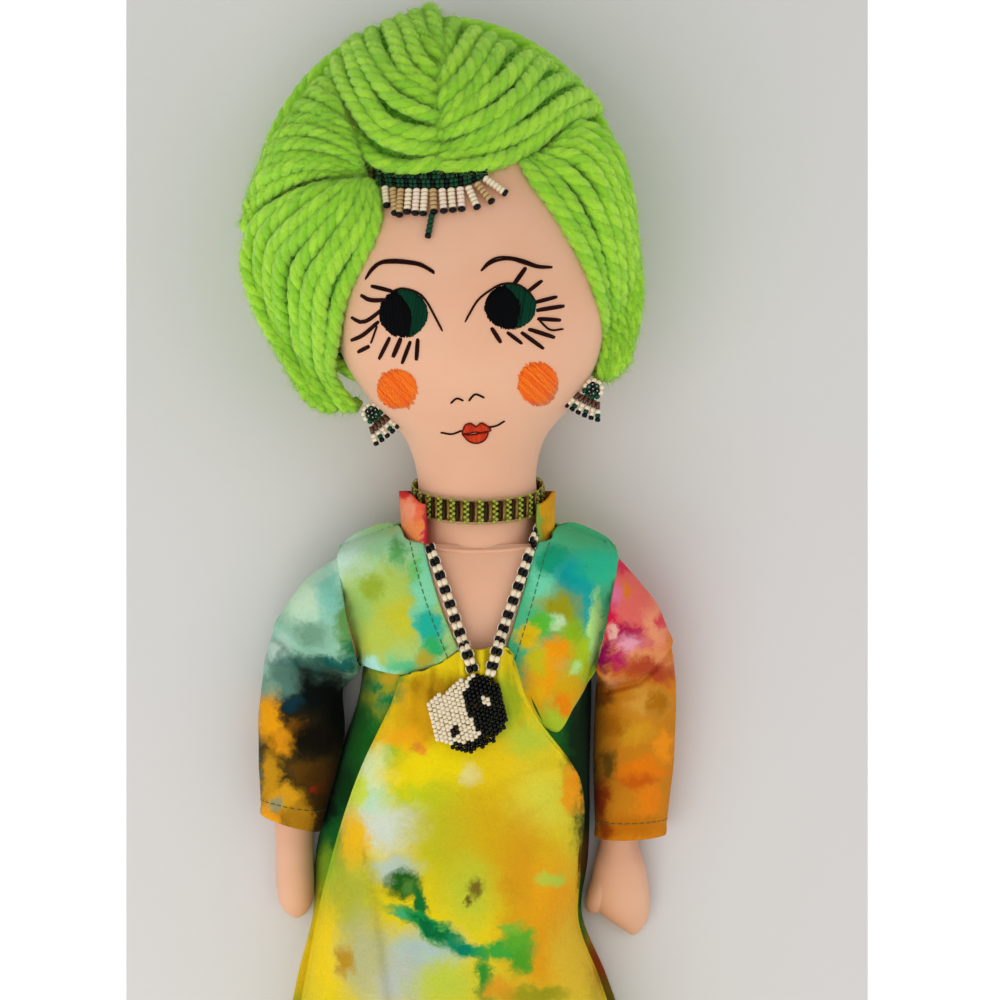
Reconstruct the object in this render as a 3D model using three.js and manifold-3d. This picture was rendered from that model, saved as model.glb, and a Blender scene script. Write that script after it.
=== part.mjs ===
// A stuffed cloth doll lying on its back: yarn hair, stitched face, beadwork jewellery and a
// dyed cotton tunic. Millimetres, +Z out of the face, +Y to the crown, floor at Z = 0.
import * as THREE from 'three';
import { mergeVertices } from 'three/addons/utils/BufferGeometryUtils.js';
import Module from 'manifold-3d';

const wasm = await Module();
wasm.setup();

// Cloth, clearances and the floor
const CLOTH = 1.0;
const EASE = 0.3;
const SKIN = 1.6;
const FAR = 400;
const LAYER = CLOTH + EASE;
const FULL_TURN = 360;
const BAR_SIDES = 40;

// Head and neck: [Y, centre X, centre Z, half width, half depth]
const NECK_R = 22.8;
const NECK_Z = 29;
const NECK_SEAM_Y = 67;
const HEAD_STATIONS = [
  [NECK_SEAM_Y, 0, NECK_Z, NECK_R, NECK_R],
  [84, 0, NECK_Z, NECK_R, NECK_R],
  [98, -0.6, 31, NECK_R, NECK_R + 0.7],
  [110, -1.1, 36, 26.5, 26.5],
  [124, -1.8, 42, 38.5, 31.5],
  [138, -2.4, 46, 47, 35.5],
  [153, -3.1, 48, 50.3, 37.8],
  [172, -3.9, 48.5, 50.3, 38.2],
  [192, -4.8, 48, 47, 36.5],
  [210, -5.6, 47, 38, 30],
  [224, -6.2, 46, 26, 21],
  [233, -6.6, 45, 9, 7],
];
const HEAD_SIDES = 20;
const HEAD_RINGS = 13;

// Torso: [Y, half width, half depth, centre Z], tapering to the hip seam like a pillow end
const HIP_Y = -62;
const HIP_Z = 19;
const SEAM_HALF = 0.35;
const CHEST_Z = 28;
const TORSO_STATIONS = [
  [HIP_Y + SEAM_HALF, 33, SEAM_HALF, HIP_Z],
  [-46, 35.5, 15.4, 19.3],
  [-28, 37, 23.5, 25.6],
  [0, 38, 25, 27],
  [22, 41.8, 26.6, CHEST_Z],
  [46, 56, 27, CHEST_Z],
  [60, 59, 26.4, CHEST_Z],
  [68, 53, 24, CHEST_Z],
  [74, 37, 20, CHEST_Z],
  [78, 27, 15, CHEST_Z],
];
const TORSO_SIDES = 18;
const TORSO_RINGS = 10;

// Armhole seam, from underarm to shoulder point, the same on both sides
const ARMHOLE_LOW = [44.5, 23];
const ARMHOLE_HIGH = [53, 65];
const SHOULDER_Z = 27;
const SHOULDER_DEPTH = 20.5;

// Sleeves by their two edges: [outer X, outer Y, inner X, inner Y, centre Z, half depth]
const SLEEVE_LEFT = [
  [-ARMHOLE_HIGH[0], ARMHOLE_HIGH[1], -ARMHOLE_LOW[0], ARMHOLE_LOW[1], SHOULDER_Z, SHOULDER_DEPTH],
  [-65, 57, -45.6, 20.6, 25, 19.8],
  [-75, 44, -48, 18, 21, 18.6],
  [-81, 30, -50.5, 15.5, 18, 17.4],
  [-83.5, 17, -52.5, 12, 16, 16.3],
  [-85, 0, -51.8, -4, 15, 15.4],
  [-84.6, -18, -55, -19, 14, 14.4],
  [-84, -35, -61.5, -41.5, 12.5, 13],
];
const SLEEVE_RIGHT = [
  [ARMHOLE_HIGH[0], ARMHOLE_HIGH[1], ARMHOLE_LOW[0], ARMHOLE_LOW[1], SHOULDER_Z, SHOULDER_DEPTH],
  [62, 55, 45.2, 21, 25, 19.8],
  [69.5, 45, 45.6, 19, 21, 18.6],
  [74, 32, 45.8, 17, 18, 17.4],
  [76, 18, 45.4, 13, 16, 16.3],
  [76, -5, 44.6, -6, 15, 15.4],
  [74.5, -25, 44.8, -25, 14, 14.4],
  [72.5, -43, 45.5, -44, 12.5, 13],
];
const ELBOW_STATION = 4;
const HEM_STATION = SLEEVE_LEFT.length - 1;
const ARM_SIDES = 14;
const SLEEVE_RINGS = 11;
const SHOULDER_GAP = 0.3;
const SLEEVE_EASE = 0.4;

// Hands below the sleeve hems, in the same form as the sleeves
const HAND_LEFT = [
  [-79.5, -37, -63.8, -40, 8.2, 8.5],
  [-79, -53, -64.6, -53, 7.8, 8.2],
  [-78.2, -65, -65, -65, 7.2, 7.6],
  [-75, -73.2, -67.5, -74, 3.5, 3.8],
];
const HAND_RIGHT = [
  [62.5, -44, 47.4, -44.5, 8.2, 8.5],
  [64.6, -58, 47.4, -59, 8, 8.4],
  [66, -71, 50, -73, 7.2, 7.6],
  [64, -83, 57.6, -84, 3.5, 3.8],
];
const THUMB = [
  [52.6, -58, 46.8, -55.5, 6.2, 5],
  [49.4, -66, 43.2, -64, 6, 4.8],
  [47.4, -73, 42, -72.4, 5.4, 2.6],
];
const THUMB_RINGS = 5;

// Legs: [Y, half width, half depth], lying on the back skirt
const LEG_X = 18.6;
const LEG_STATIONS = [
  [-258, 11.2, 11.4],
  [-238, 11.4, 11.6],
  [-210, 12.6, 12.8],
  [-165, 15.6, 15.6],
  [-115, 17.4, 17.4],
  [-82, 17.4, 17.2],
  [HIP_Y - SEAM_HALF, 16, SEAM_HALF],
];
// Feet, toes up: [Z, centre Y, half width, half length]
const FOOT_STATIONS = [
  [-0.5, -259, 9.5, 10.5],
  [10, -260, 11.6, 12.4],
  [28, -261.5, 12, 11.4],
  [42, -262.5, 10.6, 9],
  [49, -263, 5, 4.2],
];

// Skirt: [Y, left side, left fold, right fold, right side, front height, fold edge height]
const HEM_Y = -229;
const SKIRT_LINES = [
  [HEM_Y, -92, -86, 86, 92, 41, 4.5],
  [-160, -81, -77, 66, 70, 47, 4.5],
  [-100, -71, -67, 47, 50, 52, 6],
  [-75, -63.5, -62, 38.2, 40.4, 54, 12],
  [-55, -62.5, -57, 38.8, 42.8, 55.5, 17],
  [-14, -52, -43.5, 36.4, 43.6, 57.2, 36],
  [10, -45, -32.5, 20, 44.2, 57.2, 47],
  [34, -44.2, -25, 11, 44.2, 57.4, 50],
];
const FOLD_STEP = 5;
const FOLD_BITE = 2;
const HEM_WAVE = 4;
const HEM_WAVES = 3;
const SKIRT_ROWS = 14;
// Columns across the front: left side, fold, middle, fold, right side
const SKIRT_COLUMNS = [4, 1, 10, 1, 4];
const BACK_COLUMNS = 8;
const BACK_SEAM_Y = 23;
const SIDE_LIFT = CLOTH + LAYER;
const SKIRT_EASE = 1.5;
const SKIRT_TOP_Y = 33;
const SIDE_ROUND = 0.62;

// Lower edges of the two front yokes, [X, Y], and the V neck
const YOKE_LEFT_EDGE = [[-60, 24.4], [-41, 24.4], [-28.6, 21.8], [-20.8, 23.7], [-13, 27], [-6.8, 31.5]];
const YOKE_RIGHT_EDGE = [[11.3, 33], [15, 19], [22.5, 4.5], [29.5, 0], [36, 9], [43.2, 22], [60, 22]];
const V_LEFT = [[-19, 66], [-13, 46], [-6.8, 31.5]];
const V_RIGHT = [[21.5, 70], [17.5, 54], [11.3, 33]];

// Stand collar, choker and bead rope round the neck
const COLLAR_ROOM = 4.4;
const COLLAR_IN = NECK_R + COLLAR_ROOM;
const COLLAR_LOW_Y = 71;
const COLLAR_HIGH_Y = 90;
const COLLAR_FRONT_LEFT = 132;
const COLLAR_FRONT_RIGHT = 40;
const COLLAR_STEPS = 20;
const CHOKER_T = 2.2;
const CHOKER_H = 8.6;
const CHOKER_Y = 88.2;
const CHOKER_TILT = 14;
const BUGLES = 34;
const BUGLE_WAIST = 0.72;
const ROPE_W = 3.7;
const ROPE_T = 2.2;
const ROPE_PITCH = 5;
const ROPE_WAIST = 0.76;
const ROPE_SIDES = 6;
const ROPE_BACK_Y = 74;
const ROPE_BACK_FROM = 150;
const ROPE_BACK_TO = 390;
const ROPE_TOP_LEFT = [-17.6, 64];
const ROPE_TOP_RIGHT = [19.8, 66];
const ROPE_LOW_LEFT = [-1.6, 24.6];
const ROPE_LOW_RIGHT = [4.6, 24];

// Pendant: a woven hexagon of two halves
const PENDANT_AT = [-3, 7.6];
const PENDANT_R = 15.4;
const PENDANT_T = 2.2;
const PENDANT_TURN = 8;
const PARTING_SWING = 0.3;
const PARTING_CALM = 0.4;
const PARTING_REACH = 0.98;
const SEAT_STEPS = 6;

// Hair bundles by guide strands, from the face edge outwards, each from its root to its tip
const HAIR_SPLIT_Z = 40;
const HAIR_HEIGHT = 46;
const HAIR_MIDDLE = [-14, 195];
const HAIR_LEFT = 75;
const HAIR_RIGHT = 80;
const HAIR_UP = 78;
const HAIR_DOWN = 81;
const STRAND_R = 2.9;
const STRAND_RIDGE = 2.2;
const HAIR_LENGTH_STEPS = 8;
const RIDGE_STEPS = 3;
const EDGE_DIP = 0.22;
const ROOT_DIP = 0.16;
const ROOT_REACH = 0.3;
const TIP_POWER = 6;
const BUNDLES = {
  hair_crown_left: {
    strands: 7,
    guides: [
      [[-14.3, 205.7], [-26.7, 206.9], [-38.2, 214.1], [-46.1, 224.8], [-51.9, 238], [-54.5, 245.8]],
      [[-16.3, 215.4], [-25, 218.8], [-36.5, 226.6], [-45.5, 236.3], [-50.9, 247.3], [-52.4, 251]],
      [[-16.3, 227.2], [-25.1, 233], [-34.7, 241.9], [-42.1, 252.8], [-45.9, 258.4]],
      [[-15.6, 237.9], [-21.4, 244.2], [-27.4, 253.4], [-32.7, 264]],
      [[-15, 250.7], [-15.6, 257.5], [-16.6, 264], [-18.6, 270.5]],
    ],
  },
  hair_crown_right: {
    strands: 7,
    guides: [
      [[-12.1, 205.7], [-1.9, 206.5], [9.4, 209.6], [19, 215.2], [31.7, 223.6], [41.8, 230]],
      [[-11.8, 212.2], [-0.2, 218.9], [14.1, 223.7], [28.5, 228.8], [43.4, 235.5]],
      [[-11.8, 218.4], [-4.1, 226.9], [5.5, 236.3], [17, 244.1], [30.9, 246]],
      [[-12.6, 224.3], [-9.8, 233.3], [-4.2, 243.5], [2.9, 251.9], [10.2, 256]],
      [[-13.8, 229.5], [-13.4, 240.2], [-12.8, 251.5], [-11.6, 266]],
    ],
  },
  hair_left_upper: {
    strands: 5,
    guides: [
      [[-40.6, 204.4], [-54.9, 203.2], [-70.4, 199.2], [-84.9, 192.6]],
      [[-41.4, 206.2], [-52.4, 213], [-65.9, 216.4], [-80.3, 212.5]],
      [[-42.1, 208.8], [-50.2, 217.2], [-59.3, 224.7], [-71.4, 225.2]],
      [[-44.3, 214.7], [-48.5, 222.5], [-53.2, 232], [-57.8, 242]],
    ],
  },
  hair_left_lower: {
    strands: 7,
    guides: [
      [[-37, 200.7], [-34.5, 189.3], [-40.4, 172.9], [-46.8, 159.9], [-50.2, 145.5],
        [-51.8, 132.4], [-44.9, 121]],
      [[-37.7, 200.7], [-41, 189.8], [-47.6, 176], [-54.5, 162.3], [-59.6, 148.6],
        [-60.9, 134.6], [-56.9, 121]],
      [[-38.5, 200.7], [-47.9, 197.2], [-57.4, 188.8], [-64.8, 174], [-69.9, 160.4],
        [-71.5, 147.5], [-62.7, 124.3]],
      [[-39.2, 201.1], [-54.1, 200.4], [-69.9, 195.8], [-82.5, 188.4], [-86.6, 179],
        [-82, 160], [-67.8, 133.4]],
    ],
  },
  hair_right: {
    strands: 6,
    guides: [
      [[15.1, 207.3], [20.1, 199.2], [28.3, 188.6], [37.3, 175.6], [43.2, 163], [46.5, 152.2], [44.8, 133.1]],
      [[19.7, 210], [27.3, 203.9], [36.7, 192.8], [45.2, 180], [51.1, 166.5], [54.2, 153.7], [48.1, 132.3]],
      [[24.4, 212.1], [35.2, 209.5], [44.8, 200.8], [51.5, 188.1], [55.6, 175.4],
        [57.4, 158.1], [51.9, 134.6]],
      [[28.5, 217.2], [40.5, 224.5], [49.5, 218], [54, 206], [57, 186], [60, 162.5], [55.6, 139.1]],
    ],
  },
};
const BACK_HAIR = { halfX: 71.5, halfY: 74, depth: 41.5 };
const BACK_HAIR_SIDES = 26;
const BACK_HAIR_RINGS = 14;

// Stitched face: [X, Y, half width, half height]
const STITCH = 0.8;
const EYE_LEFT = [-26.1, 153.3, 8.6, 8.6];
const EYE_RIGHT = [11.9, 156, 9.1, 8.1];
const CHEEK_LEFT = [-28.6, 126.4, 7, 7];
const CHEEK_RIGHT = [22.2, 128, 7, 7.7];
const LIPS = [-0.4, 111.3, 5.4, 3.6];
const EYE_SIDES = 18;
const CHEEK_SIDES = 16;
const LIP_SIDES = 10;

// Forehead band and fringe
const BAND_T = 2.2;
const BAND_EDGE = [[-32, 199.5], [-26, 200.6], [-14, 199.8], [-3, 200.6], [2, 202]];
const BAND_H = 3.4;
const BAND_STEPS = 8;
const FRINGE_R = 1.15;
const FRINGE_BEADS = 4;
const BEAD_SIDES = 5;
const BEAD_WAIST = 0.55;
const FRINGE_LENGTH = 9.6;
const FRINGE_GAP = 1;
const FRINGE_COUNT = 13;
const FRINGE_FIRST_X = -31.4;
const FRINGE_LAST_X = 1.8;
const FRINGE_LEAN = 43;
const FRINGE_LEAN_FROM = 0.6;
const DROP_LENGTH = 10;
const DROP_X = -15.9;

// Earrings: a bead disc with a short fringe
const EARRING_R = 5.6;
const EARRING_T = 2.4;
const EARRING_DROPS = 5;
const EARRING_DROP_LENGTH = 8;
const EARRING_SPREAD = 0.9;
const EARRING_SIDES = 12;
const EARRING_ROOT = 0.7;
const EARRING_LEFT = { x: -40.8, y: 121, z: 47, lean: 20 };
const EARRING_RIGHT = { x: 41.4, y: 132.4, z: 48, lean: -4 };

const UP = new THREE.Vector3(0, 0, 1);
const PEACH = '#edbe9c';
const LIME = '#9ae52b';
const CREAM = '#f0e2c4';
const JET = '#15151a';
const DARK_GREEN = '#0b3a26';

// A smooth run of values through stations that start with their place.
function run(stations) {
  const rising = [...stations].sort((a, b) => a[0] - b[0]);
  const size = rising[0].length - 1;
  const places = new Float32Array(rising.map((s) => s[0]));
  const values = new Float32Array(rising.flatMap((s) => s.slice(1)));
  const smooth = new THREE.CubicInterpolant(places, values, size, new Float32Array(size));
  return (place) => Array.from(smooth.evaluate(place));
}

// Stations numbered by their order, for a run along a limb.
function numbered(stations) {
  return stations.map((s, k) => [k, ...s]);
}

function steps(from, to, count) {
  return Array.from({ length: count + 1 }, (_, k) => from + ((to - from) * k) / count);
}

// Geometry from points and triangles, with its faces turned outwards.
function shell(points, faces) {
  let volume = 0;
  for (let k = 0; k < faces.length; k += 3) {
    const [a, b, c] = [points[faces[k]], points[faces[k + 1]], points[faces[k + 2]]];
    volume += a.dot(b.clone().cross(c));
  }
  const outward = volume < 0 ? [...faces].reverse() : faces;
  const geometry = new THREE.BufferGeometry();
  geometry.setAttribute('position', new THREE.Float32BufferAttribute(points.flatMap((p) => p.toArray()), 3));
  geometry.setIndex(outward);
  return geometry;
}

// A closed solid through rings of points, with a fan at each end.
function loft(rings) {
  const n = rings[0].length;
  const points = rings.flat();
  const faces = [];
  for (let r = 0; r < rings.length - 1; r += 1) {
    for (let k = 0; k < n; k += 1) {
      const a = r * n + k;
      const b = r * n + ((k + 1) % n);
      faces.push(a, b, b + n, a, b + n, a + n);
    }
  }
  const last = (rings.length - 1) * n;
  const middle = (ring) => ring.reduce((sum, p) => sum.add(p), new THREE.Vector3()).divideScalar(n);
  points.push(middle(rings[0]), middle(rings.at(-1)));
  for (let k = 0; k < n; k += 1) {
    const next = (k + 1) % n;
    faces.push(next, k, points.length - 2);
    faces.push(last + k, last + next, points.length - 1);
  }
  return shell(points, faces);
}

// An oval ring of points: a along one direction, b along the other.
function oval(centre, along, a, across, b, sides) {
  return Array.from({ length: sides }, (_, k) => {
    const turn = (k / sides) * Math.PI * 2;
    const point = centre.clone().addScaledVector(along, a * Math.cos(turn));
    return point.addScaledVector(across, b * Math.sin(turn));
  });
}

// A slab between an upper grid of points and the lower point of each.
function slab(rows, lower) {
  const count = rows[0].length;
  const top = rows.flat();
  const under = top.map(lower);
  const faces = [];
  const low = top.length;
  for (let r = 0; r < rows.length - 1; r += 1) {
    for (let k = 0; k < count - 1; k += 1) {
      const a = r * count + k;
      faces.push(a, a + 1, a + count + 1, a, a + count + 1, a + count);
      faces.push(low + a, low + a + count + 1, low + a + 1, low + a, low + a + count, low + a + count + 1);
    }
  }
  const rim = [];
  for (let k = 0; k < count; k += 1) rim.push(k);
  for (let r = 1; r < rows.length; r += 1) rim.push(r * count + count - 1);
  for (let k = count - 2; k >= 0; k -= 1) rim.push((rows.length - 1) * count + k);
  for (let r = rows.length - 2; r > 0; r -= 1) rim.push(r * count);
  rim.forEach((a, k) => {
    const b = rim[(k + 1) % rim.length];
    faces.push(a, low + a, low + b, a, low + b, b);
  });
  return shell([...top, ...under], faces);
}

// A sheet of cloth, as thick as it is everywhere.
function sheet(rows, thickness) {
  return slab(rows, (p) => p.clone().addScaledVector(UP, -thickness));
}

function solid(geometry) {
  const bare = geometry.clone();
  bare.deleteAttribute('normal');
  bare.deleteAttribute('uv');
  const merged = mergeVertices(bare, 1e-4);
  return new wasm.Manifold(new wasm.Mesh({
    numProp: 3,
    vertProperties: new Float32Array(merged.attributes.position.array),
    triVerts: new Uint32Array(merged.index.array),
  }));
}

function geometryOf(body) {
  const { vertProperties, triVerts } = body.getMesh();
  const geometry = new THREE.BufferGeometry();
  geometry.setAttribute('position', new THREE.BufferAttribute(new Float32Array(vertProperties), 3));
  geometry.setIndex(new THREE.BufferAttribute(new Uint32Array(triVerts), 1));
  return geometry;
}

// A block between two corners, to cut with.
function block(low, high) {
  const size = high.map((h, k) => h - low[k]);
  const box = new THREE.BoxGeometry(...size);
  box.translate(...low.map((l, k) => l + size[k] / 2));
  return solid(box);
}

// An outline in X and Y carried from one height to another.
function prism(outline, low, high) {
  const shape = new THREE.Shape(outline.map(([x, y]) => new THREE.Vector2(x, y)));
  const body = new THREE.ExtrudeGeometry(shape, { depth: high - low, bevelEnabled: false });
  body.translate(0, 0, low);
  return solid(body);
}

// A round bar along Y.
function bar(x, z, radius, low, high, sides) {
  const body = new THREE.CylinderGeometry(radius, radius, high - low, sides);
  body.translate(x, (low + high) / 2, z);
  return solid(body);
}

const aboveFloor = (body) => body.intersect(block([-FAR, -FAR, 0], [FAR, FAR, FAR]));
const doll = new THREE.Group();

function add(name, form, color, roughness, metalness = 0) {
  const geometry = form.isBufferGeometry ? form : geometryOf(form);
  const material = new THREE.MeshStandardMaterial({ color, roughness, metalness });
  const mesh = new THREE.Mesh(geometry, material);
  mesh.name = name;
  doll.add(mesh);
}

// Head: an oval loft from the neck seam to the crown, swelling above the neck
const headAt = run(HEAD_STATIONS);
const CROWN_Y = HEAD_STATIONS.at(-1)[0];

function headLoft(grow, low = NECK_SEAM_Y) {
  const places = steps(low, CROWN_Y + Math.max(grow, -SKIN), HEAD_RINGS);
  return solid(loft(places.map((y) => {
    const [x, z, a, b] = headAt(Math.min(y, CROWN_Y));
    const centre = new THREE.Vector3(x, y, z);
    return oval(centre, new THREE.Vector3(1, 0, 0), a + grow, UP, b + grow, HEAD_SIDES);
  })));
}

// Height of the face over the floor at a place
function faceZ(x, y) {
  const [cx, cz, a, b] = headAt(y);
  return cz + b * Math.sqrt(Math.max(0, 1 - ((x - cx) / a) ** 2));
}

const head = headLoft(0);
const headClear = headLoft(EASE);
const headCavity = headLoft(-SKIN, NECK_SEAM_Y - SKIN);
add('head', head.subtract(headCavity), PEACH, 0.9);
const neckPlane = block([-FAR, NECK_SEAM_Y, 0], [FAR, FAR, FAR]);
add('head_filling', headLoft(-SKIN - EASE, NECK_SEAM_Y - SKIN).intersect(neckPlane), '#f4f1ea', 1);

// Torso: an oval loft, flat where it lies, open at the neck, planed at both armholes
const torsoAt = run(TORSO_STATIONS);
const SHOULDER_TOP_Y = TORSO_STATIONS.at(-1)[0];

function torsoLoft(grow, low = TORSO_STATIONS[0][0]) {
  const places = steps(low, SHOULDER_TOP_Y + grow, TORSO_RINGS);
  return solid(loft(places.map((y) => {
    const [a, b, z] = torsoAt(y);
    const centre = new THREE.Vector3(0, y, z);
    return oval(centre, new THREE.Vector3(1, 0, 0), a + grow, UP, b + grow, TORSO_SIDES);
  })));
}

function torsoZ(x, y) {
  const [a, b, z] = torsoAt(y);
  return z + b * Math.sqrt(Math.max(0, 1 - (x / a) ** 2));
}

// All that lies between the two armhole planes
const seamWay = new THREE.Vector2(...ARMHOLE_HIGH).sub(new THREE.Vector2(...ARMHOLE_LOW)).normalize();
const onSeam = (reach) => [
  ARMHOLE_LOW[0] + seamWay.x * reach - SHOULDER_GAP / 2,
  ARMHOLE_LOW[1] + seamWay.y * reach,
];
const [seamLow, seamHigh] = [onSeam(0), onSeam(FAR / 2)];
const betweenArms = prism(
  [
    [-seamLow[0], -FAR],
    [seamLow[0], -FAR],
    seamLow,
    seamHigh,
    [-seamHigh[0], seamHigh[1]],
    [-seamLow[0], seamLow[1]],
  ],
  -FAR,
  FAR,
);
const COLLAR_OUT = COLLAR_IN + CLOTH;
const socket = bar(0, NECK_Z, NECK_R + EASE, NECK_SEAM_Y - EASE, FAR, BAR_SIDES)
  .add(bar(0, NECK_Z, COLLAR_OUT + EASE, COLLAR_LOW_Y - EASE, FAR, BAR_SIDES));
const overBackCloth = block([-FAR, -FAR, LAYER], [FAR, FAR, FAR]);
const torsoWhole = torsoLoft(0).intersect(betweenArms).intersect(overBackCloth).subtract(socket);
const cavityBox = (inset) => block([-FAR, -FAR, LAYER + inset], [FAR, FAR, FAR]);
const inArms = (inset) => prism(
  [
    [-seamLow[0] + inset, -FAR],
    [seamLow[0] - inset, -FAR],
    [seamLow[0] - inset, seamLow[1]],
    [seamHigh[0] - inset, seamHigh[1]],
    [-seamHigh[0] + inset, seamHigh[1]],
    [-seamLow[0] + inset, seamLow[1]],
  ],
  -FAR,
  FAR,
);
const CAVITY_LOW_Y = -50;
const torsoCavity = (inset) => torsoLoft(-inset, CAVITY_LOW_Y + inset).intersect(inArms(inset))
  .intersect(cavityBox(inset));
const besideCollar = bar(0, NECK_Z, COLLAR_OUT + EASE + SKIN, COLLAR_LOW_Y - EASE - SKIN, FAR, BAR_SIDES)
  .subtract(bar(0, NECK_Z, NECK_R, -FAR, COLLAR_LOW_Y, BAR_SIDES));
add('torso', torsoWhole.subtract(torsoCavity(SKIN).subtract(besideCollar)), PEACH, 0.9);
const fillingTop = block([-FAR, -FAR, 0], [FAR, NECK_SEAM_Y - EASE, FAR]);
const WALL = SKIN + EASE * 2;
const besideCollarFilling = bar(0, NECK_Z, COLLAR_OUT + WALL, COLLAR_LOW_Y - WALL, FAR, BAR_SIDES)
  .subtract(bar(0, NECK_Z, NECK_R - EASE, -FAR, COLLAR_LOW_Y, BAR_SIDES));
const torsoFilling = torsoCavity(SKIN + EASE).intersect(fillingTop).subtract(besideCollarFilling);
add('torso_filling', torsoFilling, '#f4f1ea', 1);

// Limbs and sleeves: oval rings between an outer and an inner edge
function limbRing([ox, oy, ix, iy, z, b], inset, sides) {
  const outer = new THREE.Vector3(ox, oy, z);
  const inner = new THREE.Vector3(ix, iy, z);
  const along = outer.clone().sub(inner);
  const half = along.length() / 2;
  const centre = outer.add(inner).multiplyScalar(0.5);
  return oval(centre, along.normalize(), half - inset, UP, b - inset, sides);
}

function limb(stations, from, to, rings, inset, depth = () => Infinity) {
  const at = run(numbered(stations));
  return loft(steps(from, to, rings).map((t) => {
    const [ox, oy, ix, iy, z, b] = at(t);
    const deep = Math.min(b, depth([ox, oy, ix, iy]) + inset);
    return limbRing([ox, oy, ix, iy, z, deep], inset, ARM_SIDES);
  }));
}

// Depth of a pillow end that closes to a seam at the elbow
function pillowEnd(elbow) {
  const [ox, oy, ix, iy] = elbow;
  const middle = new THREE.Vector2((ox + ix) / 2, (oy + iy) / 2);
  return ([x, y, u, v]) => middle.distanceTo(new THREE.Vector2((x + u) / 2, (y + v) / 2));
}

const SLEEVES = { left: SLEEVE_LEFT, right: SLEEVE_RIGHT };
const HANDS = { left: HAND_LEFT, right: HAND_RIGHT };
const SLEEVE_COLOURS = { left: '#6fae9a', right: '#cf5a45' };
const ELBOW_STEP = 0.05;
const ARM_RINGS = 9;
const ARM_START = 0.001;
const FOREARM_RINGS = 13;
const beyondArms = (side) => {
  const way = side === 'left' ? -1 : 1;
  const low = [way * (seamLow[0] + SHOULDER_GAP), seamLow[1]];
  const high = [way * (seamHigh[0] + SHOULDER_GAP), seamHigh[1]];
  const down = [way * (seamLow[0] + SHOULDER_GAP - (seamWay.x / seamWay.y) * FAR), seamLow[1] - FAR];
  return prism([down, low, high, [way * FAR * 2, high[1]], [way * FAR * 2, down[1]]], -FAR, FAR);
};
for (const side of ['left', 'right']) {
  const stations = SLEEVES[side];
  const elbow = pillowEnd(stations[ELBOW_STATION]);
  const outside = solid(limb(stations, ARM_START, HEM_STATION, SLEEVE_RINGS, 0));
  const pastHem = [...stations, stations[HEM_STATION].map((v, k) => 2 * v - stations[HEM_STATION - 1][k])];
  const pierced = (inset) => solid(limb(pastHem, 0, HEM_STATION + 1, SLEEVE_RINGS, inset));
  const cuff = pierced(CLOTH).intersect(block([-FAR, -FAR, CLOTH], [FAR, FAR, FAR]));
  const room = pierced(LAYER).intersect(overBackCloth);
  const beyond = beyondArms(side);
  add(`sleeve_${side}`, aboveFloor(outside.intersect(beyond).subtract(cuff)), SLEEVE_COLOURS[side], 0.95);

  const inset = LAYER + SLEEVE_EASE;
  const upper = solid(limb(stations, 0, ELBOW_STATION - ELBOW_STEP / 2, ARM_RINGS, inset, elbow));
  add(`upper_arm_${side}`, upper.intersect(overBackCloth).intersect(beyond), PEACH, 0.9);

  const forearm = [...stations.slice(ELBOW_STATION, HEM_STATION), ...HANDS[side]];
  const lowest = forearm.length - 1;
  const covered = forearm.map((row, k) => (k < HEM_STATION - ELBOW_STATION ? shrunk(row, inset) : row));
  const fore = solid(limb(covered, ELBOW_STEP / 2, lowest, FOREARM_RINGS, 0, elbow));
  const hem = stations[HEM_STATION];
  const belowHem = prism([
    [hem[0] * 2 - hem[2], hem[1] * 2 - hem[3] - EASE],
    [hem[2] * 2 - hem[0], hem[3] * 2 - hem[1] - EASE],
    [hem[2] * 2 - hem[0], -FAR],
    [hem[0] * 2 - hem[2], -FAR],
  ], 0, FAR);
  const kept = fore.intersect(room).add(fore.intersect(belowHem));
  add(`forearm_${side}`, side === 'right' ? kept.add(aboveFloor(thumb())) : kept, PEACH, 0.9);
}

// A station drawn in by the cloth that covers it
function shrunk([ox, oy, ix, iy, z, b], inset) {
  const length = Math.hypot(ox - ix, oy - iy);
  const x = ((ox - ix) / length) * inset;
  const y = ((oy - iy) / length) * inset;
  return [ox - x, oy - y, ix + x, iy + y, z, b - inset];
}

function thumb() {
  return solid(limb(THUMB, 0, THUMB.length - 1, THUMB_RINGS, 0));
}

// Legs with feet, toes up
const legAt = run(LEG_STATIONS);
const footAt = run(FOOT_STATIONS);
const LEG_RINGS = 11;
const FOOT_RINGS = 6;
for (const [side, x] of [['left', -LEG_X], ['right', LEG_X]]) {
  const calf = solid(loft(steps(LEG_STATIONS[0][0], HIP_Y - SEAM_HALF, LEG_RINGS).map((y) => {
    const [a, b] = legAt(y);
    const pillow = Math.min(b, HIP_Y - y);
    const lying = LAYER + b;
    const z = THREE.MathUtils.lerp(HIP_Z, lying, Math.min(1, (HIP_Y - y) / b));
    return oval(new THREE.Vector3(x, y, z), new THREE.Vector3(1, 0, 0), a, UP, pillow, ARM_SIDES);
  }))).intersect(overBackCloth);
  const foot = solid(loft(steps(FOOT_STATIONS[0][0], FOOT_STATIONS.at(-1)[0], FOOT_RINGS).map((z) => {
    const [y, a, b] = footAt(z);
    const centre = new THREE.Vector3(x, y, z);
    return oval(centre, new THREE.Vector3(1, 0, 0), a, new THREE.Vector3(0, 1, 0), b, ARM_SIDES);
  })));
  add(`leg_${side}`, calf.add(aboveFloor(foot)), PEACH, 0.9);
}

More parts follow.
